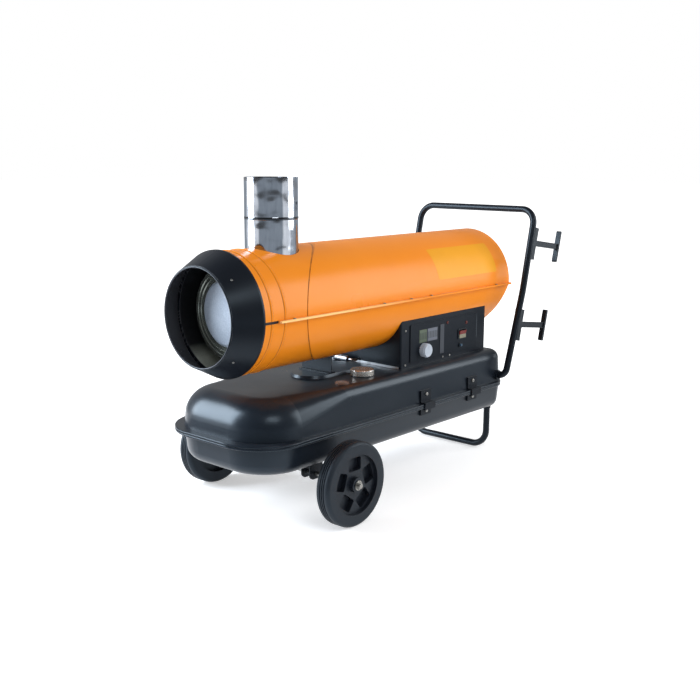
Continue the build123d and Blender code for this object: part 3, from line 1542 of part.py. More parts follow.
def axle():
    """The axle rod with a stop collar inside each wheel."""
    end = wheel_outer_y + rim_hub_proud + washer_sheet + axle_end
    rod = rod_y(axle_radius, wheel_x, wheel_radius, -end, end)
    rod = chamfer(rod.edges().filter_by(GeomType.CIRCLE), axle_radius / 4)
    inner = wheel_outer_y - wheel_width - seat_gap
    collar = rod_y(axle_collar_radius, wheel_x, wheel_radius, -inner, -inner + axle_collar_length)
    return rod + collar + mirrored(collar)


def hub_nuts():
    """A washer and a nut at each end of the axle."""
    y0 = wheel_outer_y + rim_hub_proud + seat_gap
    y1 = y0 + washer_sheet
    washer = rod_y(washer_radius, wheel_x, wheel_radius, -y1, -y0)
    nut = extrude(RegularPolygon(hub_nut_radius, 6), hub_nut_length)
    nut = Plane((wheel_x, -y1, wheel_radius), x_dir=(1, 0, 0), z_dir=(0, -1, 0)) * nut
    nut = washer + nut - rod_y(axle_radius, wheel_x, wheel_radius, -y1 - hub_nut_length - overrun,
                               -y0 + overrun)
    return Compound([nut, mirrored(nut)])


def axle_brackets():
    """The folded channels under the tank that the axle passes through."""
    half_length = axle_bracket_length / 2
    low = wheel_radius - axle_bracket_drop_edge
    y0 = -(axle_bracket_y + axle_bracket_half_gap + axle_bracket_gauge)
    y1 = -(axle_bracket_y - axle_bracket_half_gap - axle_bracket_gauge)
    channel = block(wheel_x - half_length, wheel_x + half_length, y0, y1, low, tank_bottom_z)
    corners = channel.edges().filter_by(Axis.Y).group_by(Axis.Z)[0]
    channel = fillet(corners, axle_bracket_drop_edge)
    channel -= block(wheel_x - half_length - overrun, wheel_x + half_length + overrun,
                     y0 + axle_bracket_gauge, y1 - axle_bracket_gauge, low - overrun,
                     tank_bottom_z - axle_bracket_gauge)
    channel -= rod_y(axle_radius + running_gap, wheel_x, wheel_radius, y0 - overrun, y1 + overrun)
    return Compound([channel, mirrored(channel)])


# Tube work
def bent_tube(points, radii, outer, inner):
    """A round tube along straight runs joined by bends."""
    path = FilletPolyline(*points, radius=radii)
    start = Plane(path @ 0, z_dir=path % 0)
    body = sweep(start * Circle(outer), path=path)
    if inner:
        body -= sweep(start * Circle(inner), path=path)
    return body


def handle_tube(outer, inner):
    """The push handle: a bowed U of tube with its feet turned in towards the tank."""
    side = [(handle_foot_x, -handle_half_width, handle_foot_z),
            (handle_knee_x, -handle_half_width, handle_knee_z),
            (handle_top_x, -handle_half_width, handle_top_z)]
    end = (handle_foot_x, -handle_half_width + handle_stub, handle_foot_z)
    points = [end] + side
    points += [(x, -y, z) for x, y, z in reversed(points)]
    bends = [handle_foot_bend, handle_knee_bend, handle_top_bend]
    return bent_tube(points, bends + bends[::-1], outer, inner)


def rear_stand():
    """The stand: a U of tube with a collar at each end, cut to the tank's round underside."""
    side = [(stand_x, -stand_half_width, stand_top_z), (stand_x, -stand_half_width, tube_radius)]
    points = side + [(x, -y, z) for x, y, z in reversed(side)]
    bore = tube_radius - tube_wall
    collar = rod_z(stand_socket_radius, stand_x, -stand_half_width, stand_socket_low_z, lip_low_z - seat_gap)
    collar -= rod_z(bore, stand_x, -stand_half_width, stand_socket_low_z - overrun, lip_low_z)
    collar -= lower_pan(-seat_gap)
    return bent_tube(points, stand_bend, tube_radius, bore) + collar + mirrored(collar)


def cord_winder(z, handle):
    """A moulded cord winder: a saddle on the tube, a ribbed stem and a crossbar with round ends."""
    half_length = winder_base_length / 2
    half_width = winder_base_width / 2
    depth = tube_radius + winder_base_depth
    base = block(0, depth, -half_width, half_width, -half_length, half_length)
    base = fillet(base.edges().filter_by(Axis.Z).group_by(Axis.X)[-1], winder_edge)
    for end in (-1, 1):
        base += block(depth - overrun, depth + winder_nub, -winder_nub_width / 2, winder_nub_width / 2,
                      end * (half_length - winder_nub), end * half_length)
    bar_x = winder_reach - winder_bar_thickness / 2
    stem = block(depth - overrun, bar_x, -winder_stem_width / 2, winder_stem_width / 2,
                 -winder_stem_height / 2, winder_stem_height / 2)
    for side in (-1, 1):
        y = side * winder_stem_width / 2
        groove_height = winder_stem_height / 2 - winder_rib
        stem -= block(depth, bar_x, y, y - side * winder_rib, -groove_height, groove_height)
    bar = SlotOverall(winder_bar_length, winder_bar_thickness, rotation=90)
    bar = extrude(Plane.XZ * bar, winder_bar_width / 2, both=True)
    bar = Pos(bar_x, 0, 0) * Rot(0, winder_stem_rise, 0) * bar
    winder = base + Rot(0, -winder_stem_rise, 0) * (stem + bar)
    place = Pos(leg_x(z), -handle_half_width, z) * Rot(0, winder_lean, 0)
    return place * winder - handle


# Assembly
def pieces():
    """Every piece by its name."""
    blank = casing_blank()
    handle_space = handle_tube(tube_radius + seat_gap, 0)
    near_tyre = tyre()
    near_rim = rim()
    return {
        "upper_casing": upper_casing(blank),
        "lower_casing": lower_casing(blank),
        "outlet_cone": outlet_cone(),
        "fasteners": Compound(casing_screws() + box_screws() + clamp_bolts()),
        "flue_pipe": flue_pipe(),
        "flue_spigot": flue_spigot(),
        "heat_exchanger": heat_exchanger(),
        "exchanger_cover": exchanger_cover(),
        "combustion_chamber": combustion_chamber(),
        "burner_head": burner_head(),
        "oil_nozzle": oil_nozzle(),
        "ignition_electrodes": ignition_electrodes(),
        "photocell": photocell(),
        "fan_motor": motor_body(),
        "motor_bracket": motor_bracket(),
        "motor_shaft": motor_shaft(),
        "fan": fan(),
        "fan_shroud": fan_shroud(),
        "fuel_pump": fuel_pump(),
        "solenoid_valve": solenoid_valve(),
        "rear_guard": rear_guard(),
        "control_box": control_box(),
        "cord_gland": cord_gland(),
        "control_panel": control_panel(),
        "display_windows": display_windows(),
        "thermostat_body": thermostat_body(),
        "thermostat_knob": thermostat_knob(),
        "power_switch": power_switch(),
        "power_rocker": power_rocker(),
        "reset_housing": reset_housing(),
        "reset_button": reset_button(),
        "indicator_lamps": indicator_lamps(),
        "control_board": control_board(),
        "ignition_transformer": ignition_transformer(),
        "tank_upper": tank_upper(),
        "tank_lower": tank_lower(),
        "filler_neck": filler_neck(),
        "fuel_strainer": fuel_strainer(),
        "cap_gasket": cap_gasket(),
        "fuel_cap": fuel_cap(),
        "gauge_body": gauge_body(),
        "gauge_lens": gauge_lens(),
        "gauge_pointer": gauge_pointer(),
        "float_arm": float_arm(),
        "drain_plug": drain_plug(),
        "fuel_filter": fuel_filter(),
        "fuel_lines": fuel_lines(),
        "casing_support": casing_support(),
        "tank_clamps": tank_clamps(),
        "left_tyre": near_tyre,
        "left_rim": near_rim,
        "right_tyre": mirrored(near_tyre),
        "right_rim": mirrored(near_rim),
        "axle": axle(),
        "hub_nuts": hub_nuts(),
        "axle_brackets": axle_brackets(),
        "push_handle": handle_tube(tube_radius, tube_radius - tube_wall),
        "rear_stand": rear_stand(),
        "upper_cord_winder": cord_winder(winder_high_z, handle_space),
        "lower_cord_winder": cord_winder(winder_low_z, handle_space),
    }


def main():
    os.makedirs("parts", exist_ok=True)
    to_row = Pos(-middle_x, 0, 0)
    for name, shape in pieces().items():
        export_step(to_row * shape, os.path.join("parts", name + ".step"))


if __name__ == "__main__":
    main()
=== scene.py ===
import json
import math

import bmesh
import bpy
from mathutils import Matrix, Vector


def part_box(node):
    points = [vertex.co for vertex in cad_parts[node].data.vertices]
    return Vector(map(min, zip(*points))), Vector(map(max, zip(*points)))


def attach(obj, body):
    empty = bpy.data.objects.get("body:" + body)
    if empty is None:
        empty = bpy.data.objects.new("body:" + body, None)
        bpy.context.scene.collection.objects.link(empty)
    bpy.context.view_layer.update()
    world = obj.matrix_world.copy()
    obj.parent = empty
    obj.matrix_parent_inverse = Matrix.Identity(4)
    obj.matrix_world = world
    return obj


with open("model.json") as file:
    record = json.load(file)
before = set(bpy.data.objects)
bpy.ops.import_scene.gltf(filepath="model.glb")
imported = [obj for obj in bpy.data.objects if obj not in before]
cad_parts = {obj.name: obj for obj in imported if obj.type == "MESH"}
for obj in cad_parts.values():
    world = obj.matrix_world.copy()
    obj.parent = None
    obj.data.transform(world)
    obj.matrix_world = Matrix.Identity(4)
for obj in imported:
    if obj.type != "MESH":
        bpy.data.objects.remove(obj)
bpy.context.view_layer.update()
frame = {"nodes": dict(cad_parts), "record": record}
nodes = frame["nodes"]

# Camera, fitted to the photograph
camera_place = (-2.0376, -1.7049, 0.8627)
camera_yaw = math.radians(41.38)
camera_dip = math.radians(11.19)
camera_roll = math.radians(0.22)
camera_lens = 50.27
film_width = 36.0

# Floor and room, as the camera and the reflections see them
floor_size = 60.0
floor_colour = (0.8, 0.8, 0.81, 1.0)
dim_colour = (0.84, 0.92, 1.0, 1.0)
floor_glow = 0.42
glow_start = 0.9
glow_end = 2.6
room_edge = -0.45
room_middle = 0.05
room_level = 0.1
room_rise = 0.35
world_level = 0.5
sky_level = 0.42
sweep_start = 0.75
sweep_end = 1.2
sweep_side_start = -0.7
sweep_side_end = -0.35
far_start = 2.05
far_end = 2.25
far_level = 0.56
front_side_start = 0.55
front_side_end = 0.65
rear_side_start = -0.5
rear_side_end = -0.6
wing_side_start = -0.02
wing_side_end = -0.1
wing_share = 0.85

# Places on the casing, read from the frame
casing_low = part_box("upper_casing")[0]
shaft_low, shaft_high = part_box("motor_shaft")
axis_y = (shaft_low.y + shaft_high.y) / 2
axis_z = (shaft_low.z + shaft_high.z) / 2
casing_front = casing_low.x
sheet_radius = 0.1484
lining_radius = 0.1459
flue_low, flue_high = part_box("flue_pipe")
box_low, box_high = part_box("control_box")
panel_low, panel_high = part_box("control_panel")
rocker_low, rocker_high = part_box("power_rocker")
window_low, window_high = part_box("display_windows")


# Node tree helpers
def add(tree, kind, values=None, **settings):
    """A new node: settings are its own options, values its sockets, each a number, a colour or a link."""
    node = tree.nodes.new(kind)
    for key, value in settings.items():
        setattr(node, key, value)
    for key, value in (values or {}).items():
        if isinstance(value, bpy.types.NodeSocket):
            tree.links.new(value, node.inputs[key])
        else:
            node.inputs[key].default_value = value
    return node


def maths(tree, operation, a, b=0.0, clamp=False):
    return add(tree, "ShaderNodeMath", {0: a, 1: b}, operation=operation, use_clamp=clamp).outputs[0]


def remap(tree, value, low, high, to_low=0.0, to_high=1.0):
    values = {"Value": value, "From Min": low, "From Max": high, "To Min": to_low, "To Max": to_high}
    return add(tree, "ShaderNodeMapRange", values).outputs["Result"]


def mix_colour(tree, share, a, b):
    node = add(tree, "ShaderNodeMix", data_type="RGBA")
    for key, value in ((0, share), (6, a), (7, b)):
        if isinstance(value, bpy.types.NodeSocket):
            tree.links.new(value, node.inputs[key])
        else:
            node.inputs[key].default_value = value
    return node.outputs[2]


def stretched(tree, scale):
    """Object coordinates stretched by scale along each axis."""
    place = add(tree, "ShaderNodeTexCoord").outputs["Object"]
    return add(tree, "ShaderNodeMapping", {"Vector": place, "Scale": scale}).outputs["Vector"]


def start_effect(name, inputs, outputs):
    """An empty effect group with its input and output nodes."""
    tree = bpy.data.node_groups.new(name, "ShaderNodeTree")
    for label, value in inputs:
        kind = "NodeSocketVector" if isinstance(value, tuple) else "NodeSocketFloat"
        tree.interface.new_socket(label, in_out="INPUT", socket_type=kind).default_value = value
    for label in outputs:
        tree.interface.new_socket(label, in_out="OUTPUT", socket_type="NodeSocketFloat")
    source = tree.nodes.new("NodeGroupInput").outputs
    result = tree.nodes.new("NodeGroupOutput").inputs
    return tree, source, result


# Effects that several finishes share
def make_paint_skin():
    """The fine orange peel of sprayed or powder paint, and its uneven shine."""
    tree, source, result = start_effect(
        "paint skin", [("Grain", 900.0), ("Shine", 0.35), ("Shine spread", 0.1)], ["Height", "Roughness"])
    place = stretched(tree, (1.0, 1.0, 1.0))
    peel = add(tree, "ShaderNodeTexNoise", {"Vector": place, "Scale": source["Grain"], "Detail": 2.0})
    cloud = add(tree, "ShaderNodeTexNoise", {"Vector": place, "Scale": 9.0, "Detail": 3.0})
    swing = maths(tree, "MULTIPLY", maths(tree, "SUBTRACT", cloud.outputs["Fac"], 0.5), source["Shine spread"])
    tree.links.new(peel.outputs["Fac"], result["Height"])
    tree.links.new(maths(tree, "ADD", source["Shine"], swing), result["Roughness"])
    return tree


def make_edge_wear():
    """A mask that is strong along worn outer edges."""
    tree, source, result = start_effect("edge wear", [("Width", 0.0012), ("Amount", 0.6)], ["Mask"])
    round_normal = add(tree, "ShaderNodeBevel", {"Radius": source["Width"]}, samples=6).outputs["Normal"]
    flat_normal = add(tree, "ShaderNodeNewGeometry").outputs["Normal"]
    lean = add(tree, "ShaderNodeVectorMath", {0: round_normal, 1: flat_normal}, operation="DOT_PRODUCT")
    bend = remap(tree, lean.outputs["Value"], 0.97, 0.8)
    patch = add(tree, "ShaderNodeTexNoise",
                {"Vector": stretched(tree, (1.0, 1.0, 1.0)), "Scale": 60.0, "Detail": 5.0})
    broken = remap(tree, patch.outputs["Fac"], 0.42, 0.62)
    mask = maths(tree, "MULTIPLY", maths(tree, "MULTIPLY", bend, broken), source["Amount"], clamp=True)
    tree.links.new(mask, result["Mask"])
    return tree


def make_settled_dust():
    """A mask of fine dust that lies on what faces up."""
    tree, source, result = start_effect("settled dust", [("Amount", 0.2)], ["Mask"])
    normal = add(tree, "ShaderNodeNewGeometry").outputs["Normal"]
    up = add(tree, "ShaderNodeSeparateXYZ", {"Vector": normal}).outputs["Z"]
    facing = remap(tree, up, 0.2, 1.0)
    place = stretched(tree, (1.0, 1.0, 1.0))
    cloud = add(tree, "ShaderNodeTexNoise", {"Vector": place, "Scale": 14.0, "Detail": 6.0, "Roughness": 0.7})
    drift = remap(tree, cloud.outputs["Fac"], 0.35, 0.75)
    mask = maths(tree, "MULTIPLY", maths(tree, "MULTIPLY", facing, drift), source["Amount"], clamp=True)
    tree.links.new(mask, result["Mask"])
    return tree


def make_metal_grain():
    """Drawn or rolled lines in bare metal: a height and a light and dark streak."""
    tree, source, result = start_effect("metal grain", [("Stretch", (1.0, 1.0, 1.0)), ("Fineness", 300.0)],
                                        ["Height", "Streak"])
    place = add(tree, "ShaderNodeTexCoord").outputs["Object"]
    place = add(tree, "ShaderNodeVectorMath", {0: place, 1: source["Stretch"]}, operation="MULTIPLY").outputs[0]
    line = add(tree, "ShaderNodeTexNoise", {"Vector": place, "Scale": source["Fineness"], "Detail": 4.0})
    tree.links.new(line.outputs["Fac"], result["Height"])
    tree.links.new(remap(tree, line.outputs["Fac"], 0.3, 0.7), result["Streak"])
    return tree


def make_sheet_wobble():
    """The slow unevenness of thin sheet, seen in its reflections."""
    tree, source, result = start_effect("sheet wobble", [("Size", 6.0)], ["Height"])
    wave = add(tree, "ShaderNodeTexNoise",
               {"Vector": stretched(tree, (1.0, 1.0, 1.0)), "Scale": source["Size"], "Detail": 1.0})
    tree.links.new(wave.outputs["Fac"], result["Height"])
    return tree


def make_mottle():
    """Blotches for stained, heated or spangled metal and for uneven plastic."""
    tree, source, result = start_effect("mottle", [("Size", 30.0), ("Contrast", 0.5)], ["Share"])
    place = stretched(tree, (1.0, 1.0, 1.0))
    cloud = add(tree, "ShaderNodeTexNoise",
                {"Vector": place, "Scale": source["Size"], "Detail": 5.0, "Roughness": 0.6})
    centred = maths(tree, "SUBTRACT", cloud.outputs["Fac"], 0.5)
    share = maths(tree, "ADD", maths(tree, "MULTIPLY", centred, source["Contrast"]), 0.5, clamp=True)
    tree.links.new(share, result["Share"])
    return tree


def make_band():
    """A mask that is 1 between two places along a value and fades outside them."""
    tree, source, result = start_effect("band", [("Value", 0.0), ("Start", 0.0), ("End", 1.0), ("Fade", 0.001)],
                                        ["Mask"])
    rise = maths(tree, "DIVIDE", maths(tree, "SUBTRACT", source["Value"], source["Start"]), source["Fade"])
    fall = maths(tree, "DIVIDE", maths(tree, "SUBTRACT", source["End"], source["Value"]), source["Fade"])
    rise = maths(tree, "ADD", rise, 0.5, clamp=True)
    fall = maths(tree, "ADD", fall, 0.5, clamp=True)
    tree.links.new(maths(tree, "MULTIPLY", rise, fall), result["Mask"])
    return tree


paint_skin = make_paint_skin()
edge_wear = make_edge_wear()
settled_dust = make_settled_dust()
metal_grain = make_metal_grain()
sheet_wobble = make_sheet_wobble()
mottle = make_mottle()
band = make_band()


def use(tree, effect, **values):
    """An effect placed in a material, with its own values; underscores in their names stand for spaces."""
    node = add(tree, "ShaderNodeGroup", node_tree=effect)
    for key, value in values.items():
        socket = node.inputs[key.replace("_", " ")]
        if isinstance(value, bpy.types.NodeSocket):
            tree.links.new(value, socket)
        else:
            socket.default_value = value
    return node.outputs


def own_axes(tree):
    """The piece's own x, y and z."""
    place = add(tree, "ShaderNodeTexCoord").outputs["Object"]
    return add(tree, "ShaderNodeSeparateXYZ", {"Vector": place}).outputs


def within(tree, value, start, end, fade=0.0006):
    return use(tree, band, Value=value, Start=start, End=end, Fade=fade)["Mask"]


def start_finish(name, **constants):
    """A material with a Principled shader whose steady values are set on its own sockets."""
    material = bpy.data.materials.new(name)
    material.use_nodes = True
    tree = material.node_tree
    shader = tree.nodes["Principled BSDF"]
    for key, value in constants.items():
        shader.inputs[key.replace("_", " ")].default_value = value
    return material, tree, shader


def bump(tree, height, strength, distance, under=None):
    values = {"Height": height, "Strength": strength, "Distance": distance}
    if under is not None:
        values["Normal"] = under
    return add(tree, "ShaderNodeBump", values).outputs["Normal"]


# Finishes
dust_colour = (0.3, 0.29, 0.27, 1.0)
bare_steel_colour = (0.32, 0.31, 0.3, 1.0)
# Painted shade for the creases beside the beads and under the sheet's lap edge
crease_shade_colour = (0.09, 0.024, 0.006, 1.0)
cool_shine = (0.7, 0.86, 1.0, 1.0)
strip_colour = (0.06, 0.066, 0.078, 1.0)
# Painted highlight for the panel's rear edge
panel_edge_highlight_colour = (0.12, 0.14, 0.16, 1.0)
rocker_pale = (0.22, 0.21, 0.15, 1.0)
window_blue = (0.13, 0.145, 0.18, 1.0)
window_cell = (0.03, 0.035, 0.035, 1.0)
bead_middles = (0.03, 0.072)
bead_half_width = 0.0035
crease_width = 0.0007
# Painted highlight on the seam lip, strongest near the front
lip_highlight_colour = (1.0, 0.62, 0.24, 1.0)
lip_start = 0.0022
lip_highlight_start = 0.25
lip_highlight_end = 0.6
# Painted shade: near-black for the inside of the casing and for the lining
lining_shade_colour = (0.02, 0.022, 0.026, 1.0)
# Painted light for the cone's inner faces
cone_inside_lit_colour = (0.055, 0.058, 0.068, 1.0)
lining_foot_top = 0.085
lining_foot_bottom = 0.115
flue_bead_share = 0.488
flue_bead_half = 0.003
flue_bead_colour = (0.1, 0.11, 0.125, 1.0)
lap_middle = 0.3435
lap_sweep = 0.2
lap_margin = 0.002
lap_line_width = 0.008
divider_start = 0.131
divider_end = 0.15
divider_depth = 0.0012
panel_edge_width = 0.0012
window_split = 0.0345
cell_pitch = 0.0074


def painted(name, colour, deep_colour, shine, level=0.5, grain=900.0, peel=0.03, dust=0.12, wear=0.5,
            wobble=0.0, tint=(1.0, 1.0, 1.0, 1.0), marks=None):
    """Sprayed or powder paint on steel: slow colour change, orange peel, worn edges and a little dust."""
    material, tree, shader = start_finish(name, Metallic=0.0, Specular_IOR_Level=level, Specular_Tint=tint)
    share = use(tree, mottle, Size=5.0, Contrast=1.2)["Share"]
    paint = mix_colour(tree, share, deep_colour, colour)
    if marks:
        paint = marks(tree, paint)
    worn = use(tree, edge_wear, Width=0.0009, Amount=wear)["Mask"]
    paint = mix_colour(tree, worn, paint, bare_steel_colour)
    dusty = use(tree, settled_dust, Amount=dust)["Mask"]
    paint = mix_colour(tree, dusty, paint, dust_colour)
    tree.links.new(paint, shader.inputs["Base Color"])
    skin = use(tree, paint_skin, Grain=grain, Shine=shine, Shine_spread=0.12)
    rough = maths(tree, "ADD", skin["Roughness"], maths(tree, "MULTIPLY", dusty, 0.4), clamp=True)
    tree.links.new(rough, shader.inputs["Roughness"])
    normal = bump(tree, skin["Height"], peel, 0.0006)
    if wobble:
        normal = bump(tree, use(tree, sheet_wobble, Size=7.0)["Height"], wobble, 0.004, normal)
    tree.links.new(normal, shader.inputs["Normal"])
    return material


def bare_metal(name, light, dark, rough, stretch=(1.0, 1.0, 1.0), fineness=300.0, lines=0.1, wobble=0.0,
               dust=0.05, wobble_size=20.0, metallic=1.0, marks=None):
    """Unpainted metal with drawn or rolled lines and blotches."""
    material, tree, shader = start_finish(name, Metallic=metallic)
    grain = use(tree, metal_grain, Stretch=stretch, Fineness=fineness)
    blotch = use(tree, mottle, Size=22.0, Contrast=1.4)["Share"]
    share = maths(tree, "MULTIPLY", maths(tree, "ADD", grain["Streak"], blotch), 0.5)
    metal = mix_colour(tree, share, dark, light)
    if marks:
        metal = marks(tree, metal)
    dusty = use(tree, settled_dust, Amount=dust)["Mask"]
    metal = mix_colour(tree, dusty, metal, dust_colour)
    tree.links.new(metal, shader.inputs["Base Color"])
    tree.links.new(remap(tree, share, 0.0, 1.0, rough * 1.3, rough * 0.8), shader.inputs["Roughness"])
    normal = bump(tree, grain["Height"], lines, 0.0004)
    if wobble:
        normal = bump(tree, use(tree, sheet_wobble, Size=wobble_size)["Height"], wobble, 0.004, normal)
    tree.links.new(normal, shader.inputs["Normal"])
    return material


def moulded(name, colour, deep_colour, rough, level=0.5, grain=1400.0, texture=0.08, dust=0.08, wear=0.0,
            tint=(1.0, 1.0, 1.0, 1.0), marks=None):
    """Moulded plastic or rubber: fine texture, slight blotches and dust."""
    material, tree, shader = start_finish(name, Metallic=0.0, Specular_IOR_Level=level, Specular_Tint=tint)
    share = use(tree, mottle, Size=18.0, Contrast=1.0)["Share"]
    plastic = mix_colour(tree, share, deep_colour, colour)
    if marks:
        plastic = marks(tree, plastic)
    if wear:
        worn = use(tree, edge_wear, Width=0.0007, Amount=wear)["Mask"]
        plastic = mix_colour(tree, worn, plastic, dust_colour)
    dusty = use(tree, settled_dust, Amount=dust)["Mask"]
    plastic = mix_colour(tree, dusty, plastic, dust_colour)
    tree.links.new(plastic, shader.inputs["Base Color"])
    skin = use(tree, paint_skin, Grain=grain, Shine=rough, Shine_spread=0.1)
    tree.links.new(skin["Roughness"], shader.inputs["Roughness"])
    tree.links.new(bump(tree, skin["Height"], texture, 0.0005), shader.inputs["Normal"])
    return material


def clear_glass(name, tint, rough=0.05, through=0.85):
    """Clear or tinted glass with faint smears."""
    material, tree, shader = start_finish(name, Metallic=0.0, Transmission_Weight=through, IOR=1.45)
    share = use(tree, mottle, Size=40.0, Contrast=0.6)["Share"]
    deep = tuple(c * 0.85 for c in tint[:3]) + (1.0,)
    tree.links.new(mix_colour(tree, share, deep, tint), shader.inputs["Base Color"])
    tree.links.new(remap(tree, share, 0.0, 1.0, rough, rough * 2), shader.inputs["Roughness"])
    return material


def casing_shade_and_highlight_marks(tree, paint):
    """Painted shade in the creases beside the casing's beads and under the edge of the main sheet, a painted
    highlight on the seam lip, and painted shade on the casing's inner face.
    """
    axes = own_axes(tree)
    along = maths(tree, "SUBTRACT", axes["X"], casing_front)
    # Painted shade: thin dark lines along each bead's edges
    crease_shade = None
    for place in bead_middles:
        for side in (-1, 1):
            edge = place + side * bead_half_width
            line = within(tree, along, edge - crease_width, edge + crease_width, crease_width)
            crease_shade = line if crease_shade is None else maths(tree, "MAXIMUM", crease_shade, line)
    # Painted shade under the lap edge of the main sheet
    back = maths(tree, "DIVIDE", maths(tree, "SUBTRACT", along, lap_middle), lap_sweep)
    rise = maths(tree, "DIVIDE", maths(tree, "SUBTRACT", axes["Z"], axis_z), sheet_radius + lap_margin)
    far = maths(tree, "SQRT", maths(tree, "ADD", maths(tree, "MULTIPLY", back, back),
                                    maths(tree, "MULTIPLY", rise, rise)))
    lap = within(tree, far, 1.0, 1.0 + lap_line_width, lap_line_width * 0.3)
    lap = maths(tree, "MULTIPLY", lap, maths(tree, "LESS_THAN", along, lap_middle))
    patch = add(tree, "ShaderNodeTexNoise",
                {"Vector": stretched(tree, (1.0, 1.0, 1.0)), "Scale": 35.0, "Detail": 3.0})
    broken = remap(tree, patch.outputs["Fac"], 0.3, 0.6, 0.45, 1.0)
    crease_shade = maths(tree, "MAXIMUM", maths(tree, "MULTIPLY", crease_shade, 0.6), maths(tree, "MULTIPLY", lap, 0.8))
    paint = mix_colour(tree, maths(tree, "MULTIPLY", crease_shade, broken), paint, crease_shade_colour)
    across = maths(tree, "SUBTRACT", axes["Y"], axis_y)
    above = maths(tree, "SUBTRACT", axes["Z"], axis_z)
    radius = maths(tree, "SQRT", maths(tree, "ADD", maths(tree, "MULTIPLY", across, across),
                                       maths(tree, "MULTIPLY", above, above)))
    # Painted highlight: the seam lip is lighter near the front and fades towards the rear
    lip_highlight = maths(tree, "GREATER_THAN", radius, sheet_radius + lip_start)
    lip_highlight = maths(tree, "MULTIPLY", lip_highlight, remap(tree, along, lip_highlight_end, lip_highlight_start))
    paint = mix_colour(tree, lip_highlight, paint, lip_highlight_colour)
    # Painted shade: the casing's inner face is near-black
    return mix_colour(tree, maths(tree, "LESS_THAN", radius, lining_radius), paint, lining_shade_colour)


def facing_in(tree):
    """1 on faces that look towards the casing's axis."""
    middle = (0.0, axis_y, axis_z)
    place = add(tree, "ShaderNodeTexCoord").outputs["Object"]
    spoke = add(tree, "ShaderNodeVectorMath", {0: place, 1: middle}, operation="SUBTRACT").outputs["Vector"]
    spoke = add(tree, "ShaderNodeVectorMath", {0: spoke, 1: (0.0, 1.0, 1.0)},
                operation="MULTIPLY").outputs["Vector"]
    normal = add(tree, "ShaderNodeNewGeometry").outputs["Normal"]
    lean = add(tree, "ShaderNodeVectorMath", {0: spoke, 1: normal}, operation="DOT_PRODUCT").outputs["Value"]
    return maths(tree, "LESS_THAN", lean, 0.0)


def cone_inside_light_marks(tree, paint):
    """Painted light: the cone's inner faces are lighter than its outer paint."""
    return mix_colour(tree, facing_in(tree), paint, cone_inside_lit_colour)


def lining_shade_marks(tree, metal):
    """Painted shade: the lining is near-black but for the inner faces of its foot, which keep the bare steel."""
    foot = remap(tree, own_axes(tree)["Z"], axis_z - lining_foot_top, axis_z - lining_foot_bottom)
    return mix_colour(tree, maths(tree, "MULTIPLY", foot, facing_in(tree)), lining_shade_colour, metal)


def flue_marks(tree, metal):
    """The dull ring of the pipe's rolled bead."""
    middle = flue_low.z + (flue_high.z - flue_low.z) * flue_bead_share
    ring = within(tree, own_axes(tree)["Z"], middle - flue_bead_half, middle + flue_bead_half, 0.001)
    return mix_colour(tree, ring, metal, flue_bead_colour)


def panel_marks(tree, plastic):
    """The panel's grey divider strip and a painted highlight along its rear edge."""
    axes = own_axes(tree)
    strip = within(tree, axes["X"], panel_low.x + divider_start, panel_low.x + divider_end)
    strip = maths(tree, "MULTIPLY", strip, maths(tree, "LESS_THAN", axes["Y"], panel_low.y + divider_depth))
    # Painted highlight along the panel's rear edge
    edge = maths(tree, "GREATER_THAN", axes["X"], panel_high.x - panel_edge_width)
    edge = maths(tree, "MULTIPLY", edge, within(tree, axes["Z"], panel_low.z + 0.03, panel_high.z - 0.006, 0.01))
    plastic = mix_colour(tree, strip, plastic, strip_colour)
    return mix_colour(tree, edge, plastic, panel_edge_highlight_colour)


def rocker_marks(tree, plastic):
    """The rocker's pale lower half."""
    middle = (rocker_low.z + rocker_high.z) / 2
    low = maths(tree, "LESS_THAN", own_axes(tree)["Z"], middle)
    return mix_colour(tree, low, plastic, rocker_pale)


def window_marks(tree, plastic):
    """The two windows' different tints, with the dark cells of an unlit display in each."""
    axes = own_axes(tree)
    second = maths(tree, "GREATER_THAN", axes["X"], window_low.x + window_split)
    plastic = mix_colour(tree, second, plastic, window_blue)
    across = maths(tree, "PINGPONG", maths(tree, "SUBTRACT", axes["X"], window_low.x), cell_pitch / 2)
    cell = within(tree, across, cell_pitch * 0.12, cell_pitch, 0.0008)
    tall = within(tree, axes["Z"], window_low.z + 0.008, window_high.z - 0.008, 0.001)
    cell = maths(tree, "MULTIPLY", maths(tree, "MULTIPLY", cell, tall), 0.55)
    return mix_colour(tree, cell, plastic, window_cell)


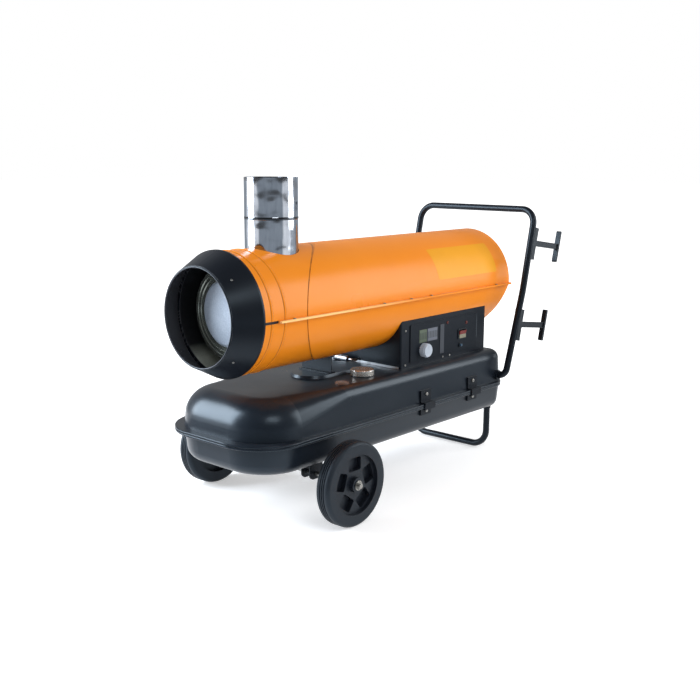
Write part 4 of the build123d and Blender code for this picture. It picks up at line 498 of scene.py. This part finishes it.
def make_finishes():
    """Every finish by the name of its slot in the record."""
    return {
        "orange_paint": painted("orange paint", (0.88, 0.27, 0.012, 1), (0.82, 0.235, 0.009, 1), 0.3, level=0.22,
                                wobble=0.06, dust=0.02, wear=0.2, marks=casing_shade_and_highlight_marks),
        "black_paint": painted("black powder coat", (0.007, 0.009, 0.014, 1), (0.005, 0.0065, 0.01, 1), 0.34,
                               level=0.26, peel=0.06, dust=0.01, wear=0.25, tint=cool_shine),
        "cone_paint": painted("cone paint", (0.009, 0.011, 0.016, 1), (0.006, 0.0075, 0.011, 1), 0.34,
                              level=0.26, peel=0.06, dust=0.01, wear=0.25, tint=cool_shine, marks=cone_inside_light_marks),
        "lining_steel": bare_metal("lining steel", (0.62, 0.66, 0.6, 1), (0.4, 0.43, 0.38, 1), 0.4, metallic=0.4,
                                   lines=0.02, marks=lining_shade_marks),
        "tank_paint": painted("tank paint", (0.01, 0.014, 0.021, 1), (0.0075, 0.011, 0.017, 1), 0.3, level=0.4,
                              peel=0.04, wobble=0.03, dust=0.02, wear=0.25, tint=cool_shine),
        "galvanised": bare_metal("galvanised flue sheet", (0.46, 0.49, 0.54, 1), (0.32, 0.35, 0.4, 1), 0.1,
                                 (1.0, 1.0, 0.15), 120.0, 0.04, 0.5, dust=0.02, wobble_size=22.0, marks=flue_marks),
        "bright_steel": bare_metal("bright steel", (0.48, 0.54, 0.62, 1), (0.24, 0.3, 0.4, 1), 0.5, lines=0.12,
                                   wobble=0.2, metallic=0.12),
        "heat_steel": bare_metal("heat-dulled steel", (0.5, 0.54, 0.49, 1), (0.2, 0.22, 0.19, 1), 0.22,
                                 metallic=0.85),
        "zinc_steel": bare_metal("zinc plate", (0.42, 0.42, 0.4, 1), (0.28, 0.28, 0.27, 1), 0.34),
        "chrome": bare_metal("cap plating", (0.78, 0.76, 0.72, 1), (0.62, 0.6, 0.56, 1), 0.24, lines=0.02,
                             metallic=0.8),
        "cast_alloy": bare_metal("cast alloy", (0.4, 0.41, 0.42, 1), (0.3, 0.31, 0.32, 1), 0.5, lines=0.4),
        "motor_paint": painted("motor enamel", (0.05, 0.055, 0.06, 1), (0.035, 0.038, 0.042, 1), 0.4),
        "fan_alloy": bare_metal("fan alloy", (0.5, 0.51, 0.52, 1), (0.38, 0.39, 0.4, 1), 0.38),
        "brass": bare_metal("brass", (0.62, 0.44, 0.2, 1), (0.45, 0.31, 0.13, 1), 0.28),
        "ceramic": moulded("white ceramic", (0.75, 0.73, 0.68, 1), (0.65, 0.62, 0.56, 1), 0.2),
        "black_plastic": moulded("black plastic", (0.009, 0.011, 0.015, 1), (0.006, 0.0075, 0.01, 1), 0.42,
                                 level=0.4, dust=0.02, tint=cool_shine),
        "panel_plastic": moulded("panel plastic", (0.008, 0.01, 0.015, 1), (0.005, 0.007, 0.011, 1), 0.38,
                                 level=0.2, dust=0.01, tint=cool_shine, marks=panel_marks),
        "white_plastic": moulded("knob plastic", (0.5, 0.56, 0.64, 1), (0.42, 0.48, 0.56, 1), 0.3, dust=0.02),
        "rocker_plastic": moulded("rocker plastic", (0.2, 0.028, 0.026, 1), (0.16, 0.022, 0.02, 1), 0.25,
                                  marks=rocker_marks, dust=0.02),
        "blue_plastic": moulded("button plastic", (0.05, 0.1, 0.16, 1), (0.035, 0.075, 0.12, 1), 0.3),
        "window_glass": moulded("display window", (0.1, 0.13, 0.09, 1), (0.08, 0.105, 0.075, 1), 0.12,
                                texture=0.01, dust=0.02, marks=window_marks),
        "lamp_lens": clear_glass("lamp lens", (0.2, 0.03, 0.02, 1), 0.15, 0.5),
        "board": moulded("circuit board", (0.02, 0.16, 0.06, 1), (0.01, 0.1, 0.04, 1), 0.4),
        "gasket": moulded("gasket rubber", (0.02, 0.02, 0.02, 1), (0.012, 0.012, 0.012, 1), 0.6),
        "gauge_plastic": moulded("gauge plastic", (0.2, 0.11, 0.08, 1), (0.14, 0.08, 0.055, 1), 0.3),
        "lens_glass": clear_glass("gauge lens", (0.7, 0.55, 0.48, 1), 0.08, 0.7),
        "pointer_red": moulded("pointer paint", (0.4, 0.03, 0.02, 1), (0.3, 0.02, 0.015, 1), 0.4),
        "filter_body": bare_metal("filter shell", (0.36, 0.38, 0.41, 1), (0.26, 0.28, 0.3, 1), 0.3),
        "copper_line": bare_metal("fuel pipe", (0.42, 0.3, 0.24, 1), (0.3, 0.2, 0.15, 1), 0.3),
        "tyre": moulded("tyre rubber", (0.014, 0.018, 0.025, 1), (0.01, 0.013, 0.018, 1), 0.5, level=0.35,
                        texture=0.2, dust=0.03, tint=cool_shine),
        "label_film": moulded("label film", (0.84, 0.36, 0.012, 1), (0.78, 0.325, 0.01, 1), 0.35,
                              level=0.2, dust=0.02),
        "rim_plastic": moulded("rim plastic", (0.01, 0.012, 0.018, 1), (0.007, 0.009, 0.013, 1), 0.38,
                               level=0.35, dust=0.02, tint=cool_shine),
    }


def dress_nodes(finishes):
    """Every node of the frame gets the finish of its slot."""
    for row in frame["record"]["subparts"]:
        mesh = nodes[row["node"]].data
        mesh.materials.clear()
        own = "cone_paint" if row["node"] == "outlet_cone" else row["material_slot"]
        mesh.materials.append(finishes[own])


# Pieces that only the looks need
label_start = 0.66
label_end = 0.942
label_low = 0.034
label_high = 0.113
label_gap = 0.0003
label_film = 0.0003
label_corner = 0.004
label_rows = 24
label_columns = 8
lining_outer = 0.1452
lining_inner = 0.144
lining_length = 0.066
lining_gap = 0.0006
lining_sides = 128
flange_depth = 0.0025
flange_height = 0.006
flange_sheet = 0.0012
flange_gap = 0.0003
flange_inset = 0.006


def new_piece(name, mesh, finish, body):
    piece = bpy.data.objects.new(name, mesh)
    bpy.context.scene.collection.objects.link(piece)
    mesh.materials.append(finish)
    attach(piece, body)
    return piece


def make_blank_label(finish):
    """The amber sticker on the rear of the casing, left blank: a thin film that follows the sheet."""
    radius = sheet_radius + label_gap
    half_length = (label_end - label_start) / 2
    middle = casing_front + (label_start + label_end) / 2
    low_turn = math.asin(label_low / radius)
    high_turn = math.asin(label_high / radius)
    half_height = radius * (high_turn - low_turn) / 2
    mesh = bmesh.new()
    rows = []
    for i in range(label_rows + 1):
        up = -half_height + 2 * half_height * i / label_rows
        inner = max(0.0, abs(up) - (half_height - label_corner))
        reach = half_length - label_corner + math.sqrt(max(0.0, label_corner ** 2 - inner ** 2))
        turn = (low_turn + high_turn) / 2 + up / radius
        y = axis_y - radius * math.cos(turn)
        z = axis_z + radius * math.sin(turn)
        rows.append([mesh.verts.new((middle + reach * (2 * k / label_columns - 1), y, z))
                     for k in range(label_columns + 1)])
    for low_row, high_row in zip(rows, rows[1:]):
        for k in range(label_columns):
            mesh.faces.new((low_row[k], low_row[k + 1], high_row[k + 1], high_row[k]))
    shape = bpy.data.meshes.new("blank_label")
    mesh.to_mesh(shape)
    mesh.free()
    shape.polygons.foreach_set("use_smooth", [True] * len(shape.polygons))
    label = new_piece("blank_label", shape, finish, "machine")
    film = label.modifiers.new("film", "SOLIDIFY")
    film.thickness = label_film
    film.offset = -1.0
    label.modifiers.new("rim", "EDGE_SPLIT")
    return label


def make_front_lining(finish):
    """The sleeve inside the front of the casing, behind the open end of its seam, near-black with painted shade but
    for its bare foot. The CAD lacks it.
    """
    mesh = bmesh.new()
    rings = []
    for x, radius in ((0.0, lining_outer), (lining_length, lining_outer),
                      (lining_length, lining_inner), (0.0, lining_inner)):
        rings.append([mesh.verts.new((casing_front + lining_gap + x, axis_y + radius * math.cos(turn),
                                      axis_z + radius * math.sin(turn)))
                      for turn in (2 * math.pi * k / lining_sides for k in range(lining_sides))])
    for i, ring in enumerate(rings):
        after = rings[(i + 1) % len(rings)]
        for k in range(lining_sides):
            m = (k + 1) % lining_sides
            mesh.faces.new((ring[k], ring[m], after[m], after[k]))
    bmesh.ops.recalc_face_normals(mesh, faces=mesh.faces)
    shape = bpy.data.meshes.new("front_lining")
    mesh.to_mesh(shape)
    mesh.free()
    shape.polygons.foreach_set("use_smooth", [True] * len(shape.polygons))
    lining = new_piece("front_lining", shape, finish, "machine")
    lining.modifiers.new("rim", "EDGE_SPLIT")
    return lining


def make_box_flange(finish):
    """The folded lip along the foot of the control box's front wall. Its light grey metal finish is a painted
    highlight.
    """
    profile = [(0.0, 0.0), (-flange_depth, 0.0), (-flange_depth, flange_sheet), (-flange_sheet, flange_sheet * 2),
               (-flange_sheet, flange_height), (0.0, flange_height)]
    mesh = bmesh.new()
    ends = []
    for y in (box_low.y + flange_inset, box_high.y - flange_inset):
        ends.append([mesh.verts.new((box_low.x - flange_gap + x, y, box_low.z + z)) for x, z in profile])
    count = len(profile)
    for i in range(count):
        k = (i + 1) % count
        mesh.faces.new((ends[0][i], ends[0][k], ends[1][k], ends[1][i]))
    mesh.faces.new(ends[0][::-1])
    mesh.faces.new(ends[1])
    bmesh.ops.recalc_face_normals(mesh, faces=mesh.faces)
    shape = bpy.data.meshes.new("box_flange")
    mesh.to_mesh(shape)
    mesh.free()
    flange = new_piece("box_flange", shape, finish, "machine")
    edge = flange.modifiers.new("edge", "BEVEL")
    edge.width = flange_sheet / 3
    edge.segments = 2
    return flange


# Stage, lights and camera
def make_floor():
    """A pale floor that keeps the machine's shadow. In reflections it is dim before and behind the flue."""
    bpy.ops.mesh.primitive_plane_add(size=floor_size)
    floor = bpy.context.object
    floor.name = "floor"
    material, tree, shader = start_finish("pale floor", Roughness=0.9, Specular_IOR_Level=0.0)
    shader.inputs["Base Color"].default_value = floor_colour
    place = add(tree, "ShaderNodeTexCoord").outputs["Object"]
    reach = add(tree, "ShaderNodeVectorMath", {0: place}, operation="LENGTH").outputs["Value"]
    level = remap(tree, reach, glow_start, glow_end, floor_glow, 1.0)
    path = add(tree, "ShaderNodeLightPath").outputs
    mirrors = maths(tree, "ADD", path["Is Glossy Ray"], path["Is Transmission Ray"], clamp=True)
    seen = maths(tree, "ADD", path["Is Camera Ray"], mirrors, clamp=True)
    glow = add(tree, "ShaderNodeEmission", {"Color": (1.0, 1.0, 1.0, 1.0)})
    tree.links.new(maths(tree, "MULTIPLY", seen, level), glow.inputs["Strength"])
    both = add(tree, "ShaderNodeAddShader", {0: shader.outputs[0], 1: glow.outputs[0]})
    towards = (-math.cos(camera_yaw), -math.sin(camera_yaw), 0.0)
    flue_place = ((flue_low.x + flue_high.x) / 2, (flue_low.y + flue_high.y) / 2, 0.0)
    spoke = add(tree, "ShaderNodeVectorMath", {0: place, 1: flue_place}, operation="SUBTRACT").outputs["Vector"]
    spoke = add(tree, "ShaderNodeVectorMath", {0: spoke}, operation="NORMALIZE").outputs["Vector"]
    side = add(tree, "ShaderNodeVectorMath", {0: spoke, 1: towards}, operation="DOT_PRODUCT").outputs["Value"]
    before = remap(tree, side, front_side_start, front_side_end)
    behind = remap(tree, side, rear_side_start, rear_side_end)
    rightwards = (math.sin(camera_yaw), -math.cos(camera_yaw), 0.0)
    beside = add(tree, "ShaderNodeVectorMath", {0: spoke, 1: rightwards}, operation="DOT_PRODUCT").outputs["Value"]
    wing = maths(tree, "MULTIPLY", maths(tree, "GREATER_THAN", beside, 0.0),
                 remap(tree, side, wing_side_start, wing_side_end))
    around = maths(tree, "MAXIMUM", maths(tree, "ADD", before, behind, clamp=True),
                   maths(tree, "MULTIPLY", wing, wing_share))
    far = remap(tree, reach, far_start, far_end)
    outside = maths(tree, "MULTIPLY", remap(tree, reach, sweep_start, sweep_end),
                    remap(tree, side, sweep_side_start, sweep_side_end))
    outside = maths(tree, "ADD", maths(tree, "MULTIPLY", outside, maths(tree, "SUBTRACT", 1.0, far)),
                    maths(tree, "MULTIPLY", around, far), clamp=True)
    dim = add(tree, "ShaderNodeEmission", {"Color": dim_colour})
    tree.links.new(remap(tree, far, 0.0, 1.0, room_level, far_level), dim.inputs["Strength"])
    shown = add(tree, "ShaderNodeMixShader",
                {0: maths(tree, "MULTIPLY", mirrors, outside), 1: both.outputs[0], 2: dim.outputs[0]})
    tree.links.new(shown.outputs[0], tree.nodes["Material Output"].inputs["Surface"])
    floor.data.materials.append(material)


def light_world():
    """White where it is seen, dimmer in reflections of the room on the camera's side."""
    world = bpy.data.worlds.new("studio")
    bpy.context.scene.world = world
    world.use_nodes = True
    tree = world.node_tree
    back = tree.nodes["Background"]
    back.inputs["Color"].default_value = (1.0, 1.0, 1.0, 1.0)
    path = add(tree, "ShaderNodeLightPath").outputs
    place = add(tree, "ShaderNodeTexCoord").outputs["Generated"]
    towards = (-math.cos(camera_yaw), -math.sin(camera_yaw), room_rise)
    facing = add(tree, "ShaderNodeVectorMath", {0: place, 1: towards}, operation="DOT_PRODUCT").outputs["Value"]
    mirrored = remap(tree, facing, room_edge, room_middle, sky_level, room_level)
    mirrors = maths(tree, "ADD", path["Is Glossy Ray"], path["Is Transmission Ray"], clamp=True)
    change = maths(tree, "SUBTRACT", mirrored, world_level)
    unseen = maths(tree, "ADD", maths(tree, "MULTIPLY", mirrors, change), world_level)
    rest = maths(tree, "SUBTRACT", 1.0, path["Is Camera Ray"])
    strength = maths(tree, "ADD", path["Is Camera Ray"], maths(tree, "MULTIPLY", rest, unseen))
    tree.links.new(strength, back.inputs["Strength"])


# Each soft box: name, place, aim, width, height, power, colour
soft_boxes = (
    ("right", (1.7, -1.8, 1.35), (0.0, 0.0, 0.45), 1.5, 1.9, 42.0, (1.0, 1.0, 1.0)),
    ("left", (-1.75, 1.65, 1.3), (-0.1, 0.0, 0.5), 1.4, 1.9, 120.0, (0.86, 0.93, 1.0)),
    ("front", (-1.6, -2.6, 2.6), (0.0, 0.0, 0.3), 1.4, 1.0, 26.0, (1.0, 1.0, 1.0)),
)


def soft_box(name, place, aim, width, height, power, colour):
    lamp = bpy.data.lights.new(name, "AREA")
    lamp.shape = "RECTANGLE"
    lamp.size = width
    lamp.size_y = height
    lamp.energy = power
    lamp.color = colour
    holder = bpy.data.objects.new(name, lamp)
    bpy.context.scene.collection.objects.link(holder)
    holder.location = place
    holder.rotation_euler = (Vector(aim) - Vector(place)).to_track_quat("-Z", "Y").to_euler()


def place_camera():
    forward = Vector((math.cos(camera_yaw) * math.cos(camera_dip), math.sin(camera_yaw) * math.cos(camera_dip),
                      -math.sin(camera_dip)))
    right = Vector((math.sin(camera_yaw), -math.cos(camera_yaw), 0.0))
    up = right.cross(forward)
    rolled_right = right * math.cos(camera_roll) + up * math.sin(camera_roll)
    rolled_up = up * math.cos(camera_roll) - right * math.sin(camera_roll)
    data = bpy.data.cameras.new("camera")
    data.lens = camera_lens
    data.sensor_width = film_width
    data.clip_end = 60.0
    camera = bpy.data.objects.new("camera", data)
    bpy.context.scene.collection.objects.link(camera)
    camera.matrix_world = Matrix.Translation(camera_place) @ Matrix(
        (rolled_right, rolled_up, -forward)).transposed().to_4x4()
    bpy.context.scene.camera = camera


finishes = make_finishes()
dress_nodes(finishes)
make_floor()
light_world()
for soft_box_values in soft_boxes:
    soft_box(*soft_box_values)
make_blank_label(finishes["label_film"])
# The flange's light grey finish is a painted highlight along the box's foot
make_box_flange(finishes["filter_body"])
make_front_lining(finishes["lining_steel"])
place_camera()
bpy.context.scene.view_settings.view_transform = "Standard"
